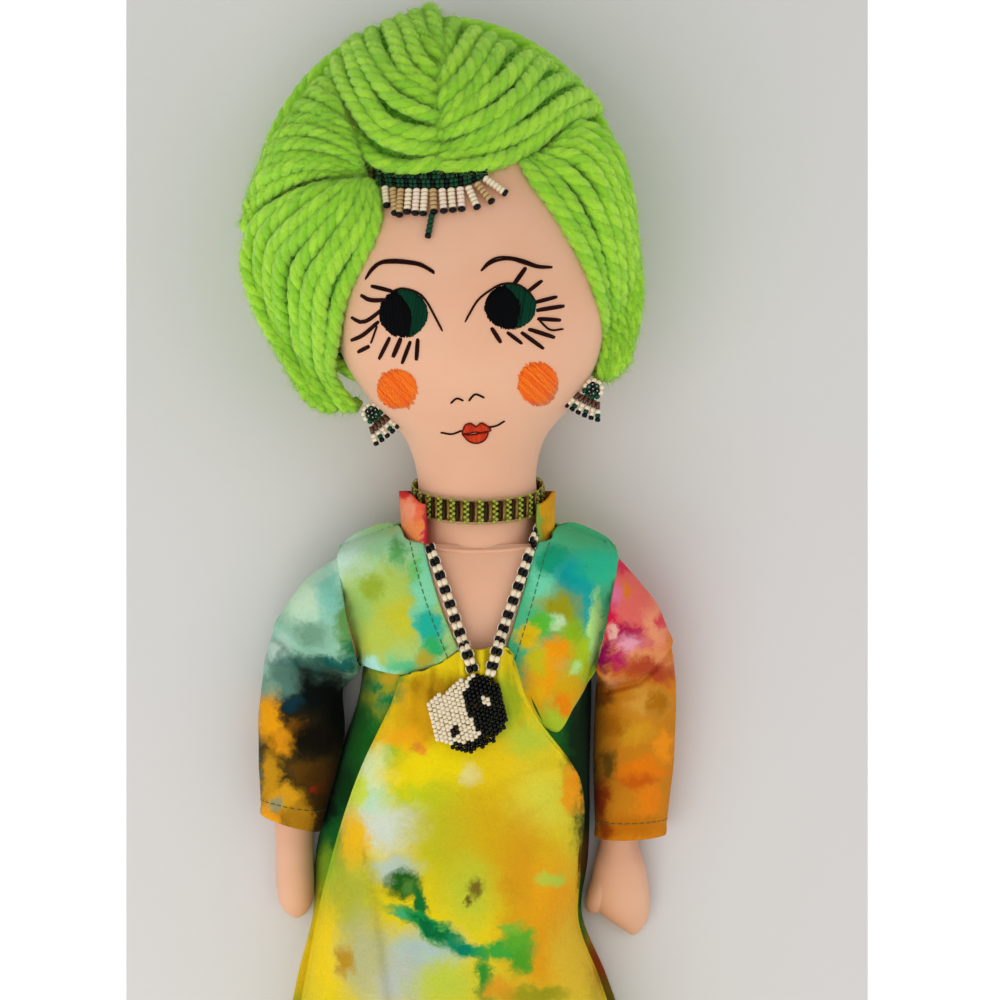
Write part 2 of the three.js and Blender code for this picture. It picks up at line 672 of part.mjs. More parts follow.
// Tunic yokes: a shell over the torso, cut at the neck, the V, the armholes and the lower seams
const yokeShell = torsoLoft(LAYER).subtract(torsoLoft(EASE)).intersect(betweenArms).subtract(socket);
const overChest = (outline) => prism(outline, CHEST_Z + EASE / 2, FAR);
const leftPanel = overChest([
  ...YOKE_LEFT_EDGE,
  ...[...V_LEFT].reverse().slice(1),
  [V_LEFT[0][0], FAR],
  [-FAR, FAR],
  [-FAR, YOKE_LEFT_EDGE[0][1]],
]);
const rightPanel = overChest([
  ...YOKE_RIGHT_EDGE,
  [FAR, YOKE_RIGHT_EDGE.at(-1)[1]],
  [FAR, FAR],
  [V_RIGHT[0][0], FAR],
  ...V_RIGHT.slice(0, -1),
]);
add('yoke_front_left', yokeShell.intersect(leftPanel), '#8ccf9a', 0.95);
add('yoke_front_right', yokeShell.intersect(rightPanel), '#5fb98a', 0.95);
const behind = block([-FAR, BACK_SEAM_Y, 0], [FAR, FAR, CHEST_Z - EASE / 2]);
add('yoke_back', yokeShell.intersect(behind), '#8ccf9a', 0.95);

// Skirt front: one sheet with two lengthwise folds that part towards the hem
const skirtAt = run(SKIRT_LINES);
const overBody = (x, y) => (y > HIP_Y ? torsoZ(x, y) + LAYER + SKIRT_EASE : 0);

function skirtTop(x, y) {
  const [, foldL, foldR, , high, edge] = skirtAt(y);
  const middle = (foldL + foldR) / 2;
  const out = THREE.MathUtils.clamp((x - middle) / (foldR - middle), -1, 1);
  const rim = Math.max(edge, overBody(out < 0 ? foldL : foldR, y) + FOLD_STEP);
  const down = (SKIRT_TOP_Y - y) / (SKIRT_TOP_Y - HEM_Y);
  const wave = HEM_WAVE * down * Math.cos(Math.PI * HEM_WAVES * out) * (1 - out * out);
  const z = rim + Math.max(0, high - rim) * Math.sqrt(1 - Math.abs(out) ** 3) + wave;
  return Math.max(z, overBody(x, y));
}

// A point of the skirt front: column across, row down
function skirtPoint(column, row) {
  const y = THREE.MathUtils.lerp(SKIRT_TOP_Y, HEM_Y, row / SKIRT_ROWS);
  const [sideL, foldL, foldR, sideR, , edge] = skirtAt(y);
  const [outL, bendL, middle, bendR] = SKIRT_COLUMNS;
  const firstFold = outL;
  const lastFold = outL + bendL + middle + bendR;
  const half = FOLD_BITE / 2;
  if (column > firstFold && column < lastFold) {
    const share = (column - outL - bendL) / middle;
    const x = THREE.MathUtils.lerp(foldL + half, foldR - half, share);
    return new THREE.Vector3(x, y, skirtTop(x, y));
  }
  const left = column <= firstFold;
  const from = left ? foldL - half : foldR + half;
  const to = left ? sideL : sideR;
  const out = left ? 1 - column / outL : (column - lastFold) / SKIRT_COLUMNS[4];
  const turn = (out * Math.PI) / 2;
  const x = THREE.MathUtils.lerp(from, to, Math.sin(turn) ** SIDE_ROUND);
  const start = Math.max(edge - FOLD_STEP, overBody(from, y), SIDE_LIFT);
  const z = THREE.MathUtils.lerp(SIDE_LIFT, start, Math.max(0, Math.cos(turn)) ** SIDE_ROUND);
  const seated = Math.abs(x) < torsoAt(y)[0] ? overBody(x, y) : 0;
  return new THREE.Vector3(x, y, Math.max(z, seated));
}

const columns = SKIRT_COLUMNS.reduce((a, b) => a + b, 0);
const frontRows = steps(0, SKIRT_ROWS, SKIRT_ROWS)
  .map((row) => steps(0, columns, columns).map((column) => skirtPoint(column, row)));
const seamAllowance = block([-FAR, SKIRT_TOP_Y - EASE, 0], [FAR, FAR, FAR])
  .add(leftPanel.translate([0, -EASE, -EASE]))
  .add(rightPanel.translate([0, -EASE, -EASE]))
  .add(block([-FAR, BACK_SEAM_Y - EASE, 0], [FAR, FAR, CHEST_Z]));
add('skirt_front', solid(sheet(frontRows, CLOTH)).subtract(seamAllowance), '#e6d23a', 0.95);

const backRows = steps(BACK_SEAM_Y - EASE, HEM_Y, SKIRT_ROWS / 2).map((y) => {
  const [sideL, , , sideR] = skirtAt(y);
  return steps(sideL, sideR, BACK_COLUMNS).map((x) => new THREE.Vector3(x, y, CLOTH));
});
add('skirt_back', sheet(backRows, CLOTH), '#3f7f4a', 0.95);

// Stand collar: a band round the back and sides of the neck, open at the front
function neckArc(radius, from, to, count) {
  return steps(from, to, count).map((turn) => {
    const angle = THREE.MathUtils.degToRad(turn);
    return new THREE.Vector2(radius * Math.cos(angle), radius * Math.sin(angle));
  });
}
function neckBand(inner, outer, from, to, height, count) {
  const outline = [...neckArc(outer, from, to, count), ...neckArc(inner, to, from, count)];
  const band = new THREE.ExtrudeGeometry(new THREE.Shape(outline), { depth: height, bevelEnabled: false });
  band.rotateX(Math.PI / 2);
  return band;
}
const collar = neckBand(COLLAR_IN, COLLAR_OUT, COLLAR_FRONT_LEFT, FULL_TURN + COLLAR_FRONT_RIGHT,
  COLLAR_HIGH_Y - COLLAR_LOW_Y, COLLAR_STEPS);
collar.translate(0, COLLAR_HIGH_Y, NECK_Z);
add('collar', collar, '#e58a52', 0.95);

// Choker: bugle beads side by side round the neck, a ring with a bulge for each bead
function chokerRing() {
  const inner = NECK_R + EASE * 2;
  const shape = new THREE.Shape(Array.from({ length: BUGLES * 2 }, (_, k) => {
    const angle = (k / BUGLES) * Math.PI;
    const radius = inner + CHOKER_T * (k % 2 ? BUGLE_WAIST : 1);
    return new THREE.Vector2(radius * Math.cos(angle), radius * Math.sin(angle));
  }));
  const clear = inner / Math.cos(Math.PI / BUGLES);
  shape.holes.push(new THREE.Path(neckArc(clear, 0, FULL_TURN * (1 - 1 / BUGLES), BUGLES - 1)));
  const ring = new THREE.ExtrudeGeometry(shape, { depth: CHOKER_H, bevelEnabled: false });
  ring.translate(0, 0, -CHOKER_H / 2);
  ring.rotateX(Math.PI / 2);
  return ring;
}
const choker = chokerRing();
const chokerSlope = -Math.tan(THREE.MathUtils.degToRad(CHOKER_TILT));
choker.applyMatrix4(new THREE.Matrix4().makeShear(0, 0, 0, 0, 0, chokerSlope));
choker.translate(0, CHOKER_Y, NECK_Z);
add('choker', choker, '#a8a838', 0.35);

// Bead rope: pairs of beads in rows, fat in the middle of each row and thin between rows
function rope(curve) {
  const rows = Math.round(curve.getLength() / ROPE_PITCH);
  const rings = steps(0, 1, rows * 2).map((t, k) => {
    const centre = curve.getPointAt(t);
    const way = curve.getTangentAt(t);
    const across = new THREE.Vector3().crossVectors(way, ropeUp(centre)).normalize();
    const up = new THREE.Vector3().crossVectors(across, way);
    const size = k % 2 ? 1 : ROPE_WAIST;
    return oval(centre, across, (ROPE_W / 2) * size, up, (ROPE_T / 2) * size, ROPE_SIDES);
  });
  return loft(rings);
}
const ropeUp = (p) => (p.y > ROPE_TOP_RIGHT[1] + 1
  ? new THREE.Vector3(p.x, 0, p.z - NECK_Z).normalize()
  : UP);
const ROPE_POINTS = 5;
function ropeRun(top, low) {
  const points = steps(0, 1, ROPE_POINTS).map((t) => {
    const x = THREE.MathUtils.lerp(top[0], low[0], t);
    const y = THREE.MathUtils.lerp(top[1], low[1], t);
    const cloth = y < SKIRT_TOP_Y + ROPE_W ? skirtTop(x, Math.min(y, SKIRT_TOP_Y)) : torsoZ(x, y) + LAYER;
    return new THREE.Vector3(x, y, cloth + ROPE_T / 2 + EASE * 2);
  });
  return new THREE.CatmullRomCurve3(points);
}
add('necklace_left', rope(ropeRun(ROPE_TOP_LEFT, ROPE_LOW_LEFT)), CREAM, 0.3);
add('necklace_right', rope(ropeRun(ROPE_TOP_RIGHT, ROPE_LOW_RIGHT)), CREAM, 0.3);
const ROPE_BACK_R = COLLAR_IN - EASE - ROPE_T / 2;
const ROPE_BACK_STEPS = 18;
const backArc = steps(ROPE_BACK_FROM, ROPE_BACK_TO, ROPE_BACK_STEPS).map((turn) => {
  const angle = THREE.MathUtils.degToRad(turn);
  return new THREE.Vector3(
    ROPE_BACK_R * Math.cos(angle),
    ROPE_BACK_Y,
    NECK_Z + ROPE_BACK_R * Math.sin(angle),
  );
});
add('necklace_back', rope(new THREE.CatmullRomCurve3(backArc)), CREAM, 0.3);

// Pendant: a hexagon slab parted by a double curve
const PENDANT_CURVE_STEPS = 8;
function pendantHalf(side) {
  const turn = THREE.MathUtils.degToRad(PENDANT_TURN);
  const corners = steps(0, 3, 3).map((k) => {
    const angle = side * (Math.PI / 2 - (k * Math.PI) / 3) + (side < 0 ? Math.PI : 0);
    return new THREE.Vector2(PENDANT_R * Math.cos(angle), PENDANT_R * Math.sin(angle));
  });
  const parting = steps(-1, 1, PENDANT_CURVE_STEPS).map((t) => new THREE.Vector2(
    side * EASE / 2 - Math.sin(t * Math.PI) * PENDANT_R * PARTING_SWING * (1 - Math.abs(t) * PARTING_CALM),
    t * PENDANT_R * PARTING_REACH,
  ));
  const outline = [...corners.slice(1, -1), ...parting];
  const shape = new THREE.Shape(outline.map((p) => p.rotateAround(new THREE.Vector2(), turn)));
  const half = new THREE.ExtrudeGeometry(shape, { depth: PENDANT_T, bevelEnabled: false });
  const reach = steps(-PENDANT_R, PENDANT_R, SEAT_STEPS);
  const [x, y] = PENDANT_AT;
  const low = Math.max(...reach.flatMap((u) => reach.map((v) => skirtTop(x + u, y + v))));
  half.translate(x, y, low + EASE);
  return half;
}
add('pendant_light', pendantHalf(-1), CREAM, 0.3);
add('pendant_dark', pendantHalf(1), JET, 0.25);

// Height of the hair over the head: one dome for all bundles, never under a strand's radius off the face
function hairTop(x, y) {
  const [middleX, middleY] = HAIR_MIDDLE;
  const across = (x - middleX) / (x < middleX ? HAIR_LEFT : HAIR_RIGHT);
  const along = (y - middleY) / (y > middleY ? HAIR_UP : HAIR_DOWN);
  return HAIR_HEIGHT * Math.sqrt(Math.max(0, 1 - across ** 2 - along ** 2));
}

// Least height of a strand that lies on the head
function seatZ(x, y) {
  const [middleX, , half] = headAt(y);
  return y < CROWN_Y && Math.abs(x - middleX) < half ? faceZ(x, y) + STRAND_R : 0;
}

// A bundle: strands between its guides, each a ridge, that dip at the bundle's sides and root
function bundle({ strands, guides }) {
  const plane = (points) => new THREE.SplineCurve(points.map(([x, y]) => new THREE.Vector2(x, y)));
  const lines = guides.map(plane);
  const across = strands * RIDGE_STEPS;
  const floor = HAIR_SPLIT_Z + EASE / 2;
  const rows = steps(0, 1, HAIR_LENGTH_STEPS).map((v) => {
    const section = new THREE.SplineCurve(lines.map((line) => line.getPoint(v)));
    const root = 1 - ROOT_DIP * Math.max(0, 1 - v / ROOT_REACH) ** 2;
    const tip = Math.sqrt(1 - v ** TIP_POWER);
    return steps(0, 1, across).map((u) => {
      const { x, y } = section.getPoint(u);
      const side = 1 - EDGE_DIP * Math.abs(2 * u - 1) ** 4;
      const ridge = STRAND_RIDGE * (Math.abs(Math.sin(Math.PI * strands * u)) - 1);
      const rise = hairTop(x, y) * side * root * tip + ridge;
      return new THREE.Vector3(x, y, Math.max(floor + EASE, floor + rise, seatZ(x, y) + ridge));
    });
  });
  return solid(slab(rows, (p) => new THREE.Vector3(p.x, p.y, floor)));
}
for (const [name, form] of Object.entries(BUNDLES)) {
  add(name, bundle(form).subtract(headClear), LIME, 1);
}
const backBall = new THREE.SphereGeometry(1, BACK_HAIR_SIDES, BACK_HAIR_RINGS);
backBall.rotateX(Math.PI / 2);
backBall.scale(BACK_HAIR.halfX, BACK_HAIR.halfY, BACK_HAIR.depth);
backBall.translate(...HAIR_MIDDLE, HAIR_SPLIT_Z);
const lowerHalf = block([-FAR, -FAR, 0], [FAR, FAR, HAIR_SPLIT_Z - EASE / 2]);
add('hair_back', solid(backBall).intersect(lowerHalf).subtract(headClear), LIME, 1);

// Face stitching: pads of thread cut from a shell over the face
const faceShell = headLoft(EASE + STITCH).subtract(headClear);
function pad([x, y, halfX, halfY], sides) {
  const outline = steps(0, sides - 1, sides - 1).map((k) => [
    x + halfX * Math.cos((k / sides) * Math.PI * 2),
    y + halfY * Math.sin((k / sides) * Math.PI * 2),
  ]);
  return faceShell.intersect(prism(outline, HAIR_SPLIT_Z, FAR));
}
add('eye_left', pad(EYE_LEFT, EYE_SIDES), '#0d2a22', 0.6);
add('eye_right', pad(EYE_RIGHT, EYE_SIDES), '#0d2a22', 0.6);
add('cheek_left', pad(CHEEK_LEFT, CHEEK_SIDES), '#f47b1c', 0.6);
add('cheek_right', pad(CHEEK_RIGHT, CHEEK_SIDES), '#f47b1c', 0.6);
add('lips', pad(LIPS, LIP_SIDES), '#d8401c', 0.6);

// Forehead band and the bead strands that hang from it
const bandLine = new THREE.SplineCurve(BAND_EDGE.map(([x, y]) => new THREE.Vector2(x, y)));
const bandLow = bandLine.getPoints(BAND_STEPS).map((p) => [p.x, p.y]);
const bandOutline = [...bandLow, ...[...bandLow].reverse().map(([x, y]) => [x, y + BAND_H])];
const bandShell = headLoft(EASE + BAND_T).subtract(headClear);
add('headband', bandShell.intersect(prism(bandOutline, HAIR_SPLIT_Z, FAR)), DARK_GREEN, 0.3);

// A strand of round beads on a thread, standing on its own axis
function beadStrand(length, radius, beads) {
  const profile = [new THREE.Vector2(0, 0)];
  for (let k = 0; k < beads; k += 1) {
    profile.push(new THREE.Vector2(radius * BEAD_WAIST, (k / beads) * length));
    profile.push(new THREE.Vector2(radius, ((k + 0.5) / beads) * length));
  }
  profile.push(new THREE.Vector2(radius * BEAD_WAIST, length));
  profile.push(new THREE.Vector2(0, length));
  return new THREE.LatheGeometry(profile, BEAD_SIDES);
}

// A strand that hangs on the forehead from a point, leaning to one side
function hang(x, y, length, lean) {
  const way = new THREE.Vector2(Math.sin(lean), -Math.cos(lean));
  const seat = FRINGE_R + EASE * 2;
  const top = new THREE.Vector3(x, y, faceZ(x, y) + seat);
  const end = new THREE.Vector3(x + way.x * length, y + way.y * length, 0);
  end.z = faceZ(end.x, end.y) + seat;
  const body = beadStrand(top.distanceTo(end), FRINGE_R, FRINGE_BEADS);
  const axis = end.clone().sub(top).normalize();
  const turn = new THREE.Quaternion().setFromUnitVectors(new THREE.Vector3(0, 1, 0), axis);
  body.applyQuaternion(turn);
  body.translate(top.x, top.y, top.z);
  return body;
}
for (let k = 0; k < FRINGE_COUNT; k += 1) {
  const t = k / (FRINGE_COUNT - 1);
  const x = THREE.MathUtils.lerp(FRINGE_FIRST_X, FRINGE_LAST_X, t);
  const splay = Math.max(0, t - FRINGE_LEAN_FROM) / (1 - FRINGE_LEAN_FROM);
  const lean = THREE.MathUtils.degToRad(FRINGE_LEAN) * splay;
  const top = bandLine.getPoint(t).y - FRINGE_GAP;
  const color = k % 2 ? CREAM : '#ead9b6';
  add(`fringe_strand_${k + 1}`, hang(x, top, FRINGE_LENGTH, lean), color, 0.3);
}
const dropTop = bandLine.getPoint(0.5).y - FRINGE_GAP - FRINGE_LENGTH - EASE;
add('fringe_drop', hang(DROP_X, dropTop, DROP_LENGTH, 0), DARK_GREEN, 0.3);

// Earrings: a disc of beads with five short strands below it
function earring({ x, y, z, lean }) {
  const disc = new THREE.CylinderGeometry(EARRING_R, EARRING_R, EARRING_T, EARRING_SIDES);
  disc.rotateX(Math.PI / 2);
  disc.translate(0, -EARRING_R, 0);
  let body = solid(disc);
  for (let k = 0; k < EARRING_DROPS; k += 1) {
    const t = k / (EARRING_DROPS - 1) - 0.5;
    const strand = beadStrand(EARRING_DROP_LENGTH, FRINGE_R, FRINGE_BEADS - 1);
    strand.rotateZ(Math.PI);
    strand.translate(0, -EARRING_R * EARRING_ROOT, 0);
    strand.rotateZ(t * EARRING_SPREAD);
    strand.translate(0, -EARRING_R, 0);
    body = body.add(solid(strand));
  }
  const geometry = geometryOf(body);
  geometry.rotateZ(THREE.MathUtils.degToRad(lean));
  geometry.translate(x, y, z);
  return solid(geometry).subtract(headClear);
}
add('earring_left', earring(EARRING_LEFT), '#6b7a4a', 0.35);
add('earring_right', earring(EARRING_RIGHT), '#6b7a4a', 0.35);

export default doll;
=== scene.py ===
"""A cloth doll with yarn hair, a stitched face, beadwork and a dyed cotton tunic, on a white table."""

import bpy
import numpy as np
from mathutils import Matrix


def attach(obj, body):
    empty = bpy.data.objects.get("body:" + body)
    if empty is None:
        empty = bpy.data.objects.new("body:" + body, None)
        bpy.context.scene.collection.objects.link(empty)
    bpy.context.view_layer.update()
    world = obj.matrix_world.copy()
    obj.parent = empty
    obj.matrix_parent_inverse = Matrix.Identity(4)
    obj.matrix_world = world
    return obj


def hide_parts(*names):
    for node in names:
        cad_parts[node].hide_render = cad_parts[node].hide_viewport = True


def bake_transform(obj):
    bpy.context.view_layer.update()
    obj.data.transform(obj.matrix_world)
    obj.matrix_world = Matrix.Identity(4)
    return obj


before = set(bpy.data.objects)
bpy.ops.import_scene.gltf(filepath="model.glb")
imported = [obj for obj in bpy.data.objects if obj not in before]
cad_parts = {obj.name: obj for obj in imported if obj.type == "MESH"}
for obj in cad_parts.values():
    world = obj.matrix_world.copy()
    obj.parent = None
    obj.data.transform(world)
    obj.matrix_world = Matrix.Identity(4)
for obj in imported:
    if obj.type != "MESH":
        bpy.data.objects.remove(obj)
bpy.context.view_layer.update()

# Table, window light and camera
# The doll lies on its back on a white table in soft daylight from the left of its feet. The lens is
# straight above its collar, so a pixel of the photograph and a height give a place on the doll.
MM = 0.001
EYE = (8.36, 86.52, 830.0)
PIXEL = 0.38
PIXEL_Z = 30.0
PICTURE = 1000
BOARD_EDGES = (126, 868)
BOARD_LENGTH = 1.2
FLOOR_SIZE = 4.0
FLOOR_DROP = 0.002
TABLE_TINT = "#E0DDD9"
WINDOW_PLACE = (-0.55, -0.60, 1.15)
WINDOW_SIZE = 1.5
WINDOW_POWER = 9.6
FILL_PLACE = (0.9, 0.20, 1.1)
FILL_SIZE = 1.3
FILL_POWER = 3.2
ROOM_LIGHT = 0.62
PICTURE_GAMMA = 0.86
ROOM_TINT = "#F4F6FA"
LAMP_TARGET = (0.0, 0.06, 0.03)


def linear(tint):
    """Scene-linear RGBA of an sRGB hex tint."""
    parts = [int(tint[k:k + 2], 16) / 255 for k in (1, 3, 5)]
    return (*[c / 12.92 if c <= 0.04045 else ((c + 0.055) / 1.055) ** 2.4 for c in parts], 1.0)


def add_node(tree, kind, sockets=None, **settings):
    """One shader node: settings by name, and sockets by name or number, from a value or another socket."""
    node = tree.nodes.new(kind)
    for key, value in settings.items():
        setattr(node, key, value)
    for key, value in (sockets or {}).items():
        if isinstance(value, bpy.types.NodeSocket):
            tree.links.new(value, node.inputs[key])
        else:
            node.inputs[key].default_value = value
    return node


def finish_of(name, tint, roughness, **sockets):
    """A material of one tint; further sockets of its surface by name."""
    material = bpy.data.materials.new(name)
    material.use_nodes = True
    shader = material.node_tree.nodes["Principled BSDF"]
    shader.inputs["Base Color"].default_value = linear(tint)
    shader.inputs["Roughness"].default_value = roughness
    for key, value in sockets.items():
        shader.inputs[key.replace("_", " ")].default_value = value
    return material


def from_photo(px, py, z):
    """Point in millimetres under a pixel of the photograph, at height z: x = eye + offset * size(z)."""
    px, py, z = np.broadcast_arrays(np.asarray(px, float), py, z)
    size = PIXEL * (EYE[2] - z) / (EYE[2] - PIXEL_Z)
    return np.stack([EYE[0] + (px - PICTURE / 2) * size, EYE[1] + (PICTURE / 2 - py) * size, z], -1)


def to_photo(points):
    """Pixel of the photograph over each point: the inverse of from_photo."""
    size = PIXEL * (EYE[2] - points[..., 2]) / (EYE[2] - PIXEL_Z)
    return PICTURE / 2 + (points[..., 0] - EYE[0]) / size, PICTURE / 2 - (points[..., 1] - EYE[1]) / size


def aim(place, target):
    """Rotation that turns a lamp's -Z from place to target."""
    way = np.subtract(target, place)
    return (float(np.arctan2(np.hypot(way[0], way[1]), -way[2])), 0.0, float(np.arctan2(-way[0], way[1])))


def lamp(name, place, size, power):
    """A square soft lamp that looks at the doll's chest."""
    data = bpy.data.lights.new(name, "AREA")
    data.size = size
    data.energy = power
    lamp_object = bpy.data.objects.new(name, data)
    lamp_object.location = place
    lamp_object.rotation_euler = aim(place, LAMP_TARGET)
    bpy.context.scene.collection.objects.link(lamp_object)


lamp("window", WINDOW_PLACE, WINDOW_SIZE, WINDOW_POWER)
lamp("room_fill", FILL_PLACE, FILL_SIZE, FILL_POWER)
world = bpy.data.worlds.new("room")
world.use_nodes = True
world.node_tree.nodes["Background"].inputs["Color"].default_value = linear(ROOM_TINT)
world.node_tree.nodes["Background"].inputs["Strength"].default_value = ROOM_LIGHT
bpy.context.scene.world = world
bpy.context.scene.view_settings.view_transform = "Standard"
bpy.context.scene.view_settings.gamma = PICTURE_GAMMA


def slab(name, left, right, length, z, material):
    """A flat rectangle to lie things on."""
    mesh = bpy.data.meshes.new(name)
    corners = [(left, -length, z), (right, -length, z), (right, length, z), (left, length, z)]
    mesh.from_pydata(corners, [], [(0, 1, 2, 3)])
    mesh.materials.append(material)
    made = bpy.data.objects.new(name, mesh)
    bpy.context.scene.collection.objects.link(made)


board_left, board_right = (float(from_photo(px, PICTURE / 2, 0.0)[0]) * MM for px in BOARD_EDGES)
slab("table", board_left, board_right, BOARD_LENGTH, 0.0, finish_of("white_table", TABLE_TINT, 0.55))
slab("floor", -FLOOR_SIZE, FLOOR_SIZE, FLOOR_SIZE, -FLOOR_DROP,
     finish_of("white_floor", "#FFFFFF", 0.8, Emission_Color=(1, 1, 1, 1), Emission_Strength=0.6))

camera_data = bpy.data.cameras.new("camera")
camera_data.angle = 2 * float(np.arctan(PIXEL * PICTURE / 2 / (EYE[2] - PIXEL_Z)))
camera = bpy.data.objects.new("camera", camera_data)
camera.location = [c * MM for c in EYE]
bpy.context.scene.collection.objects.link(camera)
bpy.context.scene.camera = camera

# Head and neck
# Sewn from peach cotton and firmly stuffed: a round head that narrows to a straight neck, which sits in the
# torso's opening. [Y, centre X, centre Z, half width, half depth]
NECK_Z = 29.0
NECK_SEAM_Y = 67.0
HEAD_STATIONS = [
    [NECK_SEAM_Y, 0, NECK_Z, 22.8, 22.8], [84, 0, NECK_Z, 22.8, 22.8], [98, -0.6, 31, 22.8, 23.5],
    [110, -1.1, 36, 26.5, 26.5], [124, -1.8, 42, 38.5, 31.5], [138, -2.4, 46, 47, 35.5],
    [153, -3.1, 48, 50.3, 37.8], [172, -3.9, 48.5, 50.3, 38.2], [192, -4.8, 48, 47, 36.5],
    [210, -5.6, 47, 38, 30], [224, -6.2, 46, 26, 21], [233, -6.6, 45, 9, 7],
]
HEAD_ROWS = 120
HEAD_TOP = (226.0, 229.0, 231.5, 233.0)
FACE_GUESS_Z = 75.0
HEAD_SIDES = 112
SKIN_TINT = "#F0C5A8"
SKIN_FLUSH = "#E6B08C"


def spline(stations):
    """Values through rows [place, value, ...]: cubic pieces that take the rows' mean slopes."""
    rows = np.array(sorted(stations), float)
    places, values = rows[:, 0], rows[:, 1:]
    slopes = np.gradient(values, places, axis=0)

    def at(place):
        place = np.clip(np.asarray(place, float), places[0], places[-1])
        k = np.clip(np.searchsorted(places, place) - 1, 0, len(places) - 2)
        h = (places[k + 1] - places[k])[..., None]
        t = ((place - places[k]) / (places[k + 1] - places[k]))[..., None]
        early = (2 * t**3 - 3 * t**2 + 1) * values[k] + (t**3 - 2 * t**2 + t) * h * slopes[k]
        return early + (3 * t**2 - 2 * t**3) * values[k + 1] + (t**3 - t**2) * h * slopes[k + 1]

    return at


def around(sides):
    """Angles of a full turn in even steps."""
    return np.linspace(0, 2 * np.pi, sides, endpoint=False)


def outward(part):
    """The part (points, quads, triangles) with its faces turned out: the signed volume is made positive."""
    points, quads, tris = part
    flat = np.concatenate([quads[:, [0, 1, 2]], quads[:, [0, 2, 3]], tris])
    a, b, c = points[flat[:, 0]], points[flat[:, 1]], points[flat[:, 2]]
    if np.einsum("ij,ij->", a, np.cross(b, c)) < 0:
        return points, quads[:, ::-1], tris[:, ::-1]
    return points, quads, tris


def lofted(rings):
    """A closed part through rings of points, shape (rings, sides, 3), with a fan at each end."""
    count, sides = rings.shape[:2]
    k = np.arange(sides)
    nxt = (k + 1) % sides
    base = np.arange(count - 1)[:, None] * sides
    quads = np.stack([base + k, base + nxt, base + nxt + sides, base + k + sides], -1).reshape(-1, 4)
    points = np.concatenate([rings.reshape(-1, 3), rings[0].mean(0)[None], rings[-1].mean(0)[None]])
    first = np.stack([nxt, k, np.full(sides, count * sides)], -1)
    end = (count - 1) * sides
    last = np.stack([k + end, nxt + end, np.full(sides, count * sides + 1)], -1)
    return outward((points, quads, np.concatenate([first, last])))


def joined(parts):
    """Many parts as one."""
    points, quads, tris, at = [], [], [], 0
    for part_points, part_quads, part_tris in parts:
        points.append(part_points)
        quads.append(part_quads + at)
        tris.append(part_tris + at)
        at += len(part_points)
    return np.concatenate(points), np.concatenate(quads), np.concatenate(tris)


def picks_of(parts, kinds):
    """Material number of each face of joined parts, quads first, from one number for each part."""
    return np.concatenate([np.full(len(part[n]), kind) for n in (1, 2) for part, kind in zip(parts, kinds)])


def piece(name, part, materials, picks=None, shades=None):
    """A mesh object from a part in millimetres. picks is a material number for each face, quads first, and
    shades a number for each point that the material may read."""
    points, quads, tris = part
    mesh = bpy.data.meshes.new(name)
    mesh.vertices.add(len(points))
    mesh.vertices.foreach_set("co", (points * MM).ravel())
    corners = np.concatenate([quads.ravel(), tris.ravel()]).astype(np.int32)
    sizes = np.concatenate([np.full(len(quads), 4), np.full(len(tris), 3)])
    mesh.loops.add(len(corners))
    mesh.loops.foreach_set("vertex_index", corners)
    mesh.polygons.add(len(sizes))
    mesh.polygons.foreach_set("loop_start", (np.cumsum(sizes) - sizes).astype(np.int32))
    if picks is not None:
        mesh.polygons.foreach_set("material_index", np.asarray(picks, np.int32))
    mesh.polygons.foreach_set("use_smooth", np.ones(len(sizes), bool))
    mesh.update(calc_edges=True)
    if shades is not None:
        store = mesh.attributes.new("shade", "FLOAT", "POINT")
        store.data.foreach_set("value", np.asarray(shades, np.float32))
    for material in materials:
        mesh.materials.append(material)
    made = bpy.data.objects.new(name, mesh)
    bpy.context.scene.collection.objects.link(made)
    return made


head_at = spline(HEAD_STATIONS)


def head_ring(y, turn, out=0.0):
    """Point on the head: an oval across Y, x = cx + (a + out) cos, z = cz + (b + out) sin."""
    cx, cz, a, b = np.moveaxis(head_at(y), -1, 0)
    return np.stack([cx + (a + out) * np.cos(turn), y + 0 * turn, cz + (b + out) * np.sin(turn)], -1)


def face_z(x, y):
    """Height of the face over the table at (x, y)."""
    cx, cz, a, b = np.moveaxis(head_at(y), -1, 0)
    return cz + b * np.sqrt(np.maximum(0, 1 - ((x - cx) / a) ** 2))


def on_face(px, py, lift=0.0):
    """Point on the face under a pixel of the photograph, found by a few steps of height."""
    z = np.full(np.shape(px), FACE_GUESS_Z)
    for _ in range(12):
        spot = from_photo(px, py, z)
        z = 0.5 * z + 0.5 * (face_z(spot[..., 0], spot[..., 1]) + lift)
    return from_photo(px, py, z)


def cotton_skin():
    """Peach cotton: a soft flush in the tint, and a fine weave that is felt more than seen."""
    material = finish_of("peach_cotton", SKIN_TINT, 0.82, Sheen_Weight=0.15, Subsurface_Weight=0.06)
    tree = material.node_tree
    shader = tree.nodes["Principled BSDF"]
    shader.inputs["Subsurface Radius"].default_value = (0.004, 0.002, 0.001)
    place = add_node(tree, "ShaderNodeTexCoord").outputs["Object"]
    cloud = add_node(tree, "ShaderNodeTexNoise", {"Vector": place, "Scale": 28.0, "Detail": 3.0})
    tint = add_node(tree, "ShaderNodeMix",
                    {0: cloud.outputs["Fac"], 6: linear(SKIN_TINT), 7: linear(SKIN_FLUSH)},
                    data_type="RGBA")
    tree.links.new(tint.outputs[2], shader.inputs["Base Color"])
    weave = add_node(tree, "ShaderNodeTexNoise", {"Vector": place, "Scale": 2600.0, "Detail": 2.0})
    bump = add_node(tree, "ShaderNodeBump",
                    {"Height": weave.outputs["Fac"], "Strength": 0.22, "Distance": 0.0003})
    tree.links.new(bump.outputs["Normal"], shader.inputs["Normal"])
    return material


